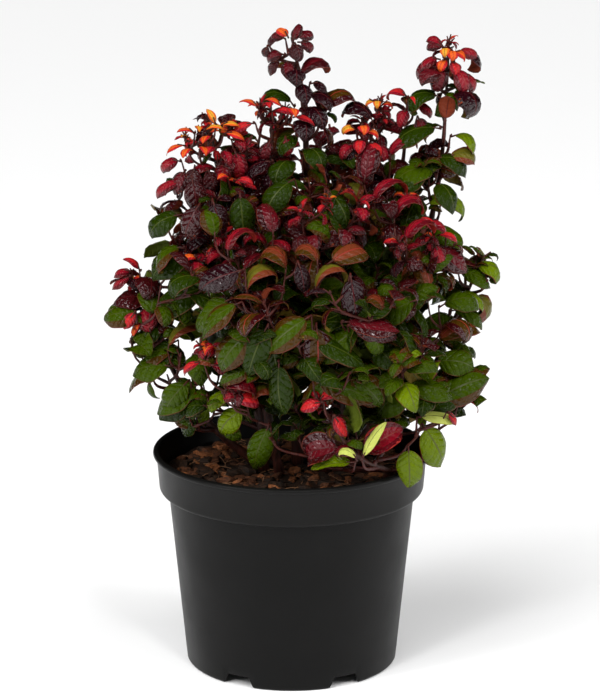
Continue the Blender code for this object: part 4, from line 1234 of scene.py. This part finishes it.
def grown_branch(tip, joints, leafy=True):
    """A side shoot that reaches a tip from the nearest place on the shoots grown so far. It
    leaves its stem almost level and then rises, and those at the far right stay green longer."""
    end = Vector(tip.place)
    best = None
    for place, radius in joints:
        rise = end.z - place.z
        if rise < LEAST_RISE or place.z < SOIL_TOP + LOWEST_FORK:
            continue
        apart = (end - place).length
        cost = apart + abs(rise - apart * FORK_SLOPE) * FORK_STIFFNESS
        if best is None or cost < best[0]:
            best = (cost, place, radius)
    _, start, radius = best
    flat = Vector((end.x - start.x, end.y - start.y, 0))
    middle = start + flat * 0.72 + Vector((0, 0, (end.z - start.z) * 0.38))
    path = smooth_path((start, middle, end), 7)
    radii = tapered(path, min(radius * 0.8, TWIG_RADIUS), TWIG_TIP_RADIUS)
    green = 0.28 if end.x > 0.085 else 0.06
    return Shoot(path, radii, leafy, tip.warmth, tip.size, green, False)


def rise_of(place):
    """How high a place is, from the pot's lip (0) to the top of the plant (1)."""
    return (place.z - POT_HEIGHT) / (cad_box[1][2] - POT_HEIGHT)


def places_in(node, taken):
    """Random places in a mass of foliage, kept apart from each other and from those taken."""
    middle, half = MASS_BOXES[node]
    wanted = round(2 + FILLING * half.x * half.y * half.z)
    placed = []
    for _ in range(MASS_TRIES):
        if len(placed) >= wanted:
            break
        way = Vector((dice.gauss(0, 1), dice.gauss(-0.2, 1), dice.gauss(0.2, 1))).normalized()
        reach = dice.uniform(0.25, 0.9)
        place = middle + Vector((way.x * half.x, way.y * half.y, way.z * half.z)) * reach
        if place.z < POT_HEIGHT + 0.012 or "spire" in node and place.z > SPIRE_FOOT:
            continue
        if all((place - Vector(other)).length >= TIP_SPACING for other in (*taken, *placed)):
            placed.append(place)
    return placed


def filling_warmth(place):
    """How far a filling tip has turned: green low down, and warmer higher up and in front."""
    rise = rise_of(place)
    if rise < 0.30:
        return dice.choices((0.12, 0.30, 0.78), (9, 5, 1))[0]
    if rise < 0.48:
        return dice.uniform(0.30, 0.62) + 0.10 * (max(-place.y, 0) / 0.1)
    return dice.uniform(0.50, 0.78)


def filling_tips(seen):
    """Random tips through each mass, kept apart from each other and from those that show."""
    tips = []
    for node in FOLIAGE:
        for place in places_in(node, [tip.place for tip in (*seen, *tips)]):
            warmth = filling_warmth(place)
            size = 0.96 - 0.28 * rise_of(place) + dice.gauss(0, 0.04)
            dice.random()  # A draw that is passed over, so that those after it stay the same
            tips.append(Tip(tuple(place), warmth, size))
    return tips


def inner_tips():
    """Short green shoots low down between the stems, where the crown would be bare inside."""
    tips = []
    for _ in range(INNER_SHOOTS):
        radius = dice.uniform(0.008, 0.056)
        angle = dice.uniform(0, 2 * math.pi)
        height = POT_HEIGHT + dice.uniform(0.040, 0.120)
        tips.append(Tip((radius * math.cos(angle), radius * math.sin(angle), height), 0.05, 0.80))
    return tips


def tint_of(stage):
    """A tint that a leaf may wear at a stage, by the dice."""
    stage += dice.gauss(0, 0.05)
    tints = next(tints for limit, tints in TINTS if stage < limit)
    return dice.choices(list(tints), list(tints.values()))[0]


def stage_of(shoot, place, nearness):
    """How far a leaf has turned: older leaves by their height, the tip's by its own warmth."""
    old = float(np.interp(rise_of(place), (0, 0.30, 0.46, 0.62, 1), (0.05, 0.12, 0.30, 0.50, 0.60)))
    old = max(old - shoot.green, 0.05)
    tip = shoot.warmth + 0.30 if shoot.warmth > 0.7 else shoot.warmth
    return old + (tip - old) * nearness**2.0


def grown_leaf(shoot, place, stem, spin, age, tint):
    """A leaf that leans out from its stem, its age from 0 at the shoot's tip to 1."""
    habit = MATURE if tint in MATURE_TINTS else YOUNG
    side = stem.orthogonal().normalized()
    out = (side * math.cos(spin) + stem.cross(side) * math.sin(spin)).normalized()
    spread = math.radians(22 + habit.spread * age**0.7 + dice.gauss(0, 9))
    along = stem * math.cos(spread) + out * math.sin(spread)
    up = (stem - along * stem.dot(along)).normalized()
    lift = Vector((0, 0, 1))
    lift -= along * lift.dot(along)
    if lift.length > 0.2:
        up = (up + lift.normalized() * habit.lift * age).normalized()
        up = (up - along * up.dot(along)).normalized()
    growth = 0.26 + 0.74 * age**0.9 if shoot.warmth > BRIGHT_TIP else 0.44 + 0.56 * age**0.8
    length = LEAF_LENGTH * shoot.size * growth * dice.uniform(0.84, 1.14) * habit.length
    if tint in BRIGHT_TINTS:
        length *= BRIGHT_SHARE
    width = length * dice.uniform(0.54, 0.72) * (0.82 + 0.18 * growth)
    bend = math.radians(dice.uniform(*habit.bend)) * (1 - habit.unfolding + habit.unfolding * age)
    early = dice.uniform(*habit.early)
    roll = math.radians(dice.uniform(*habit.roll))
    roll *= 1 if dice.random() < habit.rolled_down else habit.rolled_up
    twist = math.radians(dice.gauss(0, 18))
    wave = dice.uniform(0, 2 * math.pi)
    return Leaf(place, along, up, length, width, bend, early, roll, twist, wave, tint, LEAF_ROWS)


def leaves_of(shoot):
    """Leaves spiral round a shoot, and crowd together at its tip."""
    lengths = [0.0]
    for before, after in zip(shoot.path, shoot.path[1:]):
        lengths.append(lengths[-1] + (after - before).length)
    total = lengths[-1]
    at = total - total * LEAFY_SHARE
    spin = dice.uniform(0, 2 * math.pi)
    found = []
    while at < total:
        index = max(i for i, length in enumerate(lengths) if length <= at)
        index = min(index, len(shoot.path) - 2)
        near, far = shoot.path[index : index + 2]
        place = near.lerp(far, (at - lengths[index]) / (lengths[index + 1] - lengths[index]))
        stem = (far - near).normalized()
        age = min((total - at) / YOUNG_STRETCH, 1)
        nearness = max(1 - (total - at) / TURNING_STRETCH, 0)
        tint = tint_of(stage_of(shoot, place, nearness))
        found.append(grown_leaf(shoot, place, stem, spin, age, tint))
        spin += GOLDEN_ANGLE + dice.gauss(0, 0.22)
        step = LEAF_SPACING * (0.14 + 0.86 * age**0.8) * (0.55 + 0.6 * shoot.size) * dice.uniform(0.8, 1.2)
        at += step * SPIRE_THINNING if shoot.lead and place.z > SPIRE_FOOT else step
    if shoot.warmth > BRIGHT_TIP:
        found.extend(rosette(shoot))
    return found


def rosette(shoot):
    """A tuft of small curled leaves that crowns a bright tip."""
    tip = shoot.path[-1]
    stem = (shoot.path[-1] - shoot.path[-2]).normalized()
    side = stem.orthogonal().normalized()
    found = []
    for number in range(ROSETTE_LEAVES):
        spin = number * GOLDEN_ANGLE + dice.gauss(0, 0.2)
        out = side * math.cos(spin) + stem.cross(side) * math.sin(spin)
        spread = math.radians(18 + 62 * number / ROSETTE_LEAVES + dice.gauss(0, 8))
        along = stem * math.cos(spread) + out * math.sin(spread)
        up = (stem - along * stem.dot(along)).normalized()
        place = tip - stem * (0.0012 * number) - along * (PETIOLE_LENGTH * 0.5)
        length = shoot.size * dice.uniform(0.014, 0.021)
        width = length * dice.uniform(0.40, 0.56)
        bend = math.radians(dice.uniform(90, 210))
        roll = math.radians(dice.uniform(40, 110))
        tint = tint_of(shoot.warmth + 0.22 - 0.28 * number / ROSETTE_LEAVES)
        wave = dice.uniform(0, 2 * math.pi)
        found.append(Leaf(place, along, up, length, width, bend, 0.8, roll, 0.3, wave, tint, LEAF_ROWS))
    return found


def shown_leaf(shown):
    """A leaf from the list, with its top turned square to its direction. Its ripple and twist
    follow from its place."""
    along = Vector(shown.along).normalized()
    face = Vector(shown.face)
    up = (face - along * face.dot(along)).normalized()
    bend = math.radians(shown.bend + SHOWN_EXTRA_BEND)
    roll = math.radians(shown.roll * SHOWN_ROLL_GAIN)
    place, size = Vector(shown.place), (shown.length, shown.width)
    wave = shown.place[0] * 700
    twist = 0.35 * math.sin(wave * 1.7)
    return Leaf(place, along, up, *size, bend, 0.7, roll, twist, wave, shown.tint, SHOWN_ROWS)


def leaf_outline(share):
    """Half a leaf's width at shares of its length: oval, with a short drawn-out point."""
    body = np.sin(math.pi * share**0.88) ** 0.64
    return body * (1 - 0.40 * np.clip(share - 0.78, 0, 1) / 0.22)


def leaf_points(leaf):
    """A leaf's corners: its two ends, then its rows, each with its top's and underside's."""
    along, up = np.array(leaf.along), np.array(leaf.up)
    across = np.cross(along, up)
    even = np.linspace(0, 1, leaf.rows + 1)
    share = 0.4 * even + 0.6 * (1 - np.cos(math.pi * even)) / 2
    turned = leaf.bend * (leaf.early * share + (1 - leaf.early) * share**2.2)
    between = (turned[1:] + turned[:-1]) / 2
    steps = np.outer(np.cos(between), along) - np.outer(np.sin(between), up)
    steps *= leaf.length * np.diff(share)[:, None]
    spine = np.array(leaf.place) + along * PETIOLE_LENGTH * min(leaf.length / PETIOLE_LEAF, 1)
    spine = np.vstack([spine, spine + np.cumsum(steps, axis=0)])
    normal = np.outer(np.cos(turned), up) + np.outer(np.sin(turned), along)
    swing = (leaf.twist * share)[:, None]
    side = across * np.cos(swing) + normal * np.sin(swing)
    face = normal * np.cos(swing) - across * np.sin(swing)
    half = leaf.width / 2 * leaf_outline(share)
    arc_angle = leaf.roll / 2 * (0.4 + 0.6 * np.sin(math.pi * share))

    def section(columns, depth):
        angle = np.outer(arc_angle, columns)
        radius = (half / arc_angle)[:, None]
        phase = leaf.wave + share[:, None] * 9 + columns * 1.3
        ripple = MARGIN_RIPPLE * leaf.width * columns**2 * np.sin(phase)
        crease = MIDRIB_CREASE * leaf.width * (np.abs(columns) < 0.2)
        rise = ripple - crease - radius * (1 - np.cos(angle)) - depth
        sideways = radius * np.sin(angle)
        return spine[:, None] + side[:, None] * sideways[..., None] + face[:, None] * rise[..., None]

    under = section(UNDER_COLUMNS, LEAF_THICKNESS * leaf.width)
    rows = np.concatenate([section(TOP_COLUMNS, 0), under], axis=1)
    return np.vstack([spine[:1], spine[-1:], rows[1:-1].reshape(-1, 3)])


def leaf_pattern(rows):
    """How a leaf's corners join up: its faces, what each wears, and their places on the map."""
    tops = len(TOP_COLUMNS)
    width = tops + len(UNDER_COLUMNS)
    top_row = list(range(tops))
    under_row = [tops - 1, *reversed(range(tops, width)), 0]
    map_across = [*TOP_COLUMNS, *UNDER_COLUMNS]
    faces, parts, places = [], [], []
    for order, sheet in ((top_row, "top"), (under_row, "under")):
        for row in range(rows):
            for left, right in zip(order, order[1:]):
                corners = ((row, left), (row, right), (row + 1, right), (row + 1, left))
                face, spots = [], []
                for at, column in corners:
                    if at == 0:
                        corner = 0
                    elif at == rows:
                        corner = 1
                    else:
                        corner = 2 + (at - 1) * width + column
                    if corner not in face:
                        face.append(corner)
                        spots.append(((map_across[column] + 1) / 2, at / rows))
                part = sheet
                if sheet == "top" and left in (1, tops - 3):
                    part = "edge"
                if sheet == "top" and left in (0, tops - 2):
                    part = "margin"
                if left == tops // 2 - 1 or right == tops + 1:
                    part = "midrib"
                faces.append(face)
                parts.append(part)
                places.extend(spots)
    return faces, parts, places


def fits(points):
    """Whether a leaf lies inside the plant's box, above the compost and clear of the pot."""
    low = np.array(cad_box[0]) - np.array(AXIS) - BOX_MARGIN
    high = np.array(cad_box[1]) - np.array(AXIS) + BOX_MARGIN
    if (points < low).any() or (points > high).any():
        return False
    radius = np.hypot(points[:, 0], points[:, 1])
    height = points[:, 2]
    over_wall = (radius > SOIL_RADIUS - WALL_CLEARANCE) & (radius < LIP_RADIUS + LIP_CLEARANCE)
    in_wall = over_wall & (height < POT_HEIGHT + LIP_CLEARANCE)
    in_soil = (radius < LIP_RADIUS) & (height < SOIL_TOP + SOIL_CLEARANCE)
    too_low = height < POT_HEIGHT + LOW_EDGE + LOW_EDGE_RISE * radius
    return not (in_wall | in_soil | too_low).any()


def sight_lines(leaves):
    """The middles of the listed leaves, their ways to the camera, and their reach."""
    middles = np.array([points.mean(axis=0) for _, points in leaves])
    ways = np.array((0, -CAMERA_DISTANCE, CAMERA_HEIGHT)) - middles
    ways /= np.linalg.norm(ways, axis=1)[:, None]
    reaches = np.array([SIGHT_SHARE * leaf.length for leaf, _ in leaves])
    return middles, ways, reaches


def hides_shown(points, length, lines):
    """Whether a leaf stands in front of one from the list."""
    middles, ways, reaches = lines
    apart = points.mean(axis=0) - middles
    ahead = (apart * ways).sum(axis=1)
    aside = np.linalg.norm(apart - ahead[:, None] * ways, axis=1)
    return ((ahead > 0.001) & (aside < reaches + SIGHT_SHARE * length)).any()


def covers_sky(points):
    """Whether a leaf stands in an opening of the crown."""
    sine, cosine = math.sin(CAMERA_PITCH), math.cos(CAMERA_PITCH)
    back = points[:, 1] + CAMERA_DISTANCE
    below = CAMERA_HEIGHT - points[:, 2]
    scale = PICTURE_LENS / (back * cosine + below * sine)
    across = PICTURE_MIDDLE[0] + points[:, 0] * scale
    down = PICTURE_MIDDLE[1] + (below * cosine - back * sine) * scale
    return any((np.hypot(across - x, down - y) < half).any() for x, y, half in SKY_GAPS)


def nearest_mass(place):
    """The foliage node whose box best holds a place."""

    def reach(node):
        middle, half = MASS_BOXES[node]
        offset = place - middle
        return max(abs(offset.x) / half.x, abs(offset.y) / half.y, abs(offset.z) / half.z)

    return min(FOLIAGE, key=reach)


def make_leaves(leaves, materials):
    """Joins the leaves, a piece for each mass of foliage."""
    names = list(materials)
    patterns = {rows: leaf_pattern(rows) for rows in (LEAF_ROWS, SHOWN_ROWS)}
    groups = {node: [] for node in FOLIAGE}
    for leaf, points in leaves:
        groups[nearest_mass(leaf.place + leaf.along * leaf.length * 0.4)].append((leaf, points))
    for node, group in groups.items():
        corners, faces, wear, uv = [], [], [], []
        for leaf, points in group:
            pattern, parts, map_places = patterns[leaf.rows]
            kinds = {part: f"{LEAF_PARTS[part]}_{tint}" for part, tint in zip(LEAF_PARTS, WEAR[leaf.tint])}
            base = len(corners)
            corners.extend(map(tuple, points))
            faces.extend([base + corner for corner in face] for face in pattern)
            wear.extend(names.index(kinds[part]) for part in parts)
            uv.extend(map_places)
        worn = sorted(set(wear))
        finishes = [materials[names[slot]] for slot in worn]
        name = node.replace("foliage", "leaves")
        piece = joined_piece(name, corners, faces, finishes, [worn.index(slot) for slot in wear], uv)
        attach(piece, "root")
        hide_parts(node)


def make_stems(shoots):
    """The old stems, dark and barky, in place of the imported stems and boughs."""
    points, faces = [], []
    for shoot in shoots:
        tube(shoot.path, shoot.radii, STEM_SIDES, points, faces, jitter=0.35)
    finish = bark_finish("stem_bark", (0.020, 0.007, 0.005), (0.075, 0.018, 0.011))
    piece = joined_piece("stems", points, faces, [finish], [0] * len(faces))
    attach(piece, "root")
    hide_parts(*LIMBS)


def make_twigs(shoots, leaves):
    """The side shoots, with the leaves' red stalks and the buds above them."""
    points, faces = [], []
    for shoot in shoots:
        tube(shoot.path, shoot.radii, TWIG_SIDES, points, faces, jitter=0.25)
    for leaf, _ in leaves:
        neck = leaf.place + leaf.along * (PETIOLE_LENGTH * 1.35) - leaf.up * 0.0004
        tube([leaf.place, neck], [PETIOLE_RADIUS, PETIOLE_RADIUS * 0.7], 4, points, faces)
        if dice.random() < BUD_SHARE:
            way = (leaf.along + leaf.up * 0.8).normalized()
            path = [leaf.place + way * BUD_LENGTH * share for share in (0.1, 0.5, 1)]
            tube(path, BUD_RADII, 5, points, faces)
    finish = bark_finish("shoot_bark", (0.028, 0.006, 0.004), (0.080, 0.012, 0.008))
    piece = joined_piece("twigs", points, faces, [finish], [0] * len(faces))
    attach(piece, "root")


def side_shoots(joints):
    """The side shoots, nearest the stems first, so that the later ones fork off the earlier. The
    bare ones at the end of the list only carry leaves that are listed one by one."""
    seen = [Tip(*row) for row in SEEN_TIPS]
    tips = [*seen, *inner_tips(), *filling_tips(seen)]
    tips.sort(key=lambda tip: min((Vector(tip.place) - place).length for place, _ in joints))
    twigs = []
    for tip in tips:
        twig = grown_branch(tip, joints)
        twigs.append(twig)
        joints.extend(list(zip(twig.path, twig.radii))[2:-4])
    for place in (row[0] for row in SHOWN_LEAVES):
        if min((Vector(place) - joint).length for joint, _ in joints) > REACH_OF_STALK:
            twig = grown_branch(Tip(place, 0, 0), joints, leafy=False)
            twigs.append(twig)
            joints.extend(list(zip(twig.path, twig.radii))[2:])
    return twigs


def make_plant():
    """Grows the shoots and their leaves, and makes the stems, the twigs and the leaves' pieces."""
    stems = leader_shoots()
    twigs = side_shoots([joint for stem in stems for joint in zip(stem.path, stem.radii)])
    leaves = [(leaf, leaf_points(leaf)) for leaf in (shown_leaf(Shown(*row)) for row in SHOWN_LEAVES)]
    lines = sight_lines(leaves)
    forks = {tuple(twig.path[0]) for twig in twigs}
    living = [twig for twig in twigs if not twig.leafy]
    for shoot in (*stems, *(twig for twig in twigs if twig.leafy)):
        grown = [(leaf, leaf_points(leaf)) for leaf in leaves_of(shoot)]
        kept = []
        for leaf, points in grown:
            hidden = hides_shown(points, leaf.length, lines) or covers_sky(points)
            if fits(points) and not hidden:
                kept.append((leaf, points))
        forked = any(tuple(place) in forks for place in shoot.path[1:])
        if not shoot.lead and not forked and len(kept) < BARE_SHARE * len(grown):
            continue
        leaves.extend(kept)
        if not shoot.lead:
            living.append(shoot)
    make_stems(stems)
    make_twigs(living, leaves)
    make_leaves(leaves, make_leaf_materials())


def make_camera():
    """The camera, at the photograph's viewing angle."""
    data = bpy.data.cameras.new("camera")
    data.lens = CAMERA_LENS
    data.sensor_width = CAMERA_SENSOR
    data.sensor_fit = "AUTO"
    data.shift_x = CAMERA_SHIFT
    data.clip_end = 50
    camera = bpy.data.objects.new("camera", data)
    bpy.context.scene.collection.objects.link(camera)
    camera.location = AXIS + Vector((0, -CAMERA_DISTANCE, CAMERA_HEIGHT))
    camera.rotation_euler = (math.pi / 2 - CAMERA_PITCH, 0, 0)
    bpy.context.scene.camera = camera


def softbox(name, place, size, watts):
    """A lamp that faces the middle of the plant."""
    data = bpy.data.lights.new(name, "AREA")
    data.shape = "RECTANGLE"
    data.size, data.size_y = size
    data.energy = watts
    lamp = bpy.data.objects.new(name, data)
    bpy.context.scene.collection.objects.link(lamp)
    lamp.location = AXIS + Vector(place)
    lamp.rotation_euler = (lamp.location - (AXIS + SOFTBOX_AIM)).to_track_quat("Z", "Y").to_euler()


def sun_light(name, way, strength):
    """A wide soft sun that shines from a direction."""
    data = bpy.data.lights.new(name, "SUN")
    data.energy = strength
    data.angle = SUN_ANGLE
    lamp = bpy.data.objects.new(name, data)
    bpy.context.scene.collection.objects.link(lamp)
    lamp.rotation_euler = Vector(way).to_track_quat("Z", "Y").to_euler()
    lamp.visible_glossy = False


def make_studio():
    """A plain pale floor, an even white sky, soft suns and softboxes."""
    bpy.ops.mesh.primitive_plane_add(size=80, location=(0, 0, 0))
    floor = bpy.context.object
    floor.name = "studio_floor"
    floor.data.materials.append(Finish("studio_floor", (0.90, 0.90, 0.90), 0.9).material)
    world = bpy.data.worlds.new("studio")
    bpy.context.scene.world = world
    world.use_nodes = True
    sky = world.node_tree.nodes["Background"]
    sky.inputs["Color"].default_value = (1, 1, 1, 1)
    sky.inputs["Strength"].default_value = WORLD_STRENGTH
    world.cycles_visibility.glossy = False
    for name, (way, strength) in SUNS.items():
        sun_light(name, way, strength)
    for name, (place, size, watts) in SOFTBOXES.items():
        softbox(name, place, size, watts)
    view = bpy.context.scene.view_settings
    view.view_transform = "Standard"
    view.look = "None"


def main():
    make_camera()
    make_studio()
    make_pot()
    make_soil()
    make_chips()
    make_fibres()
    make_plant()


main()
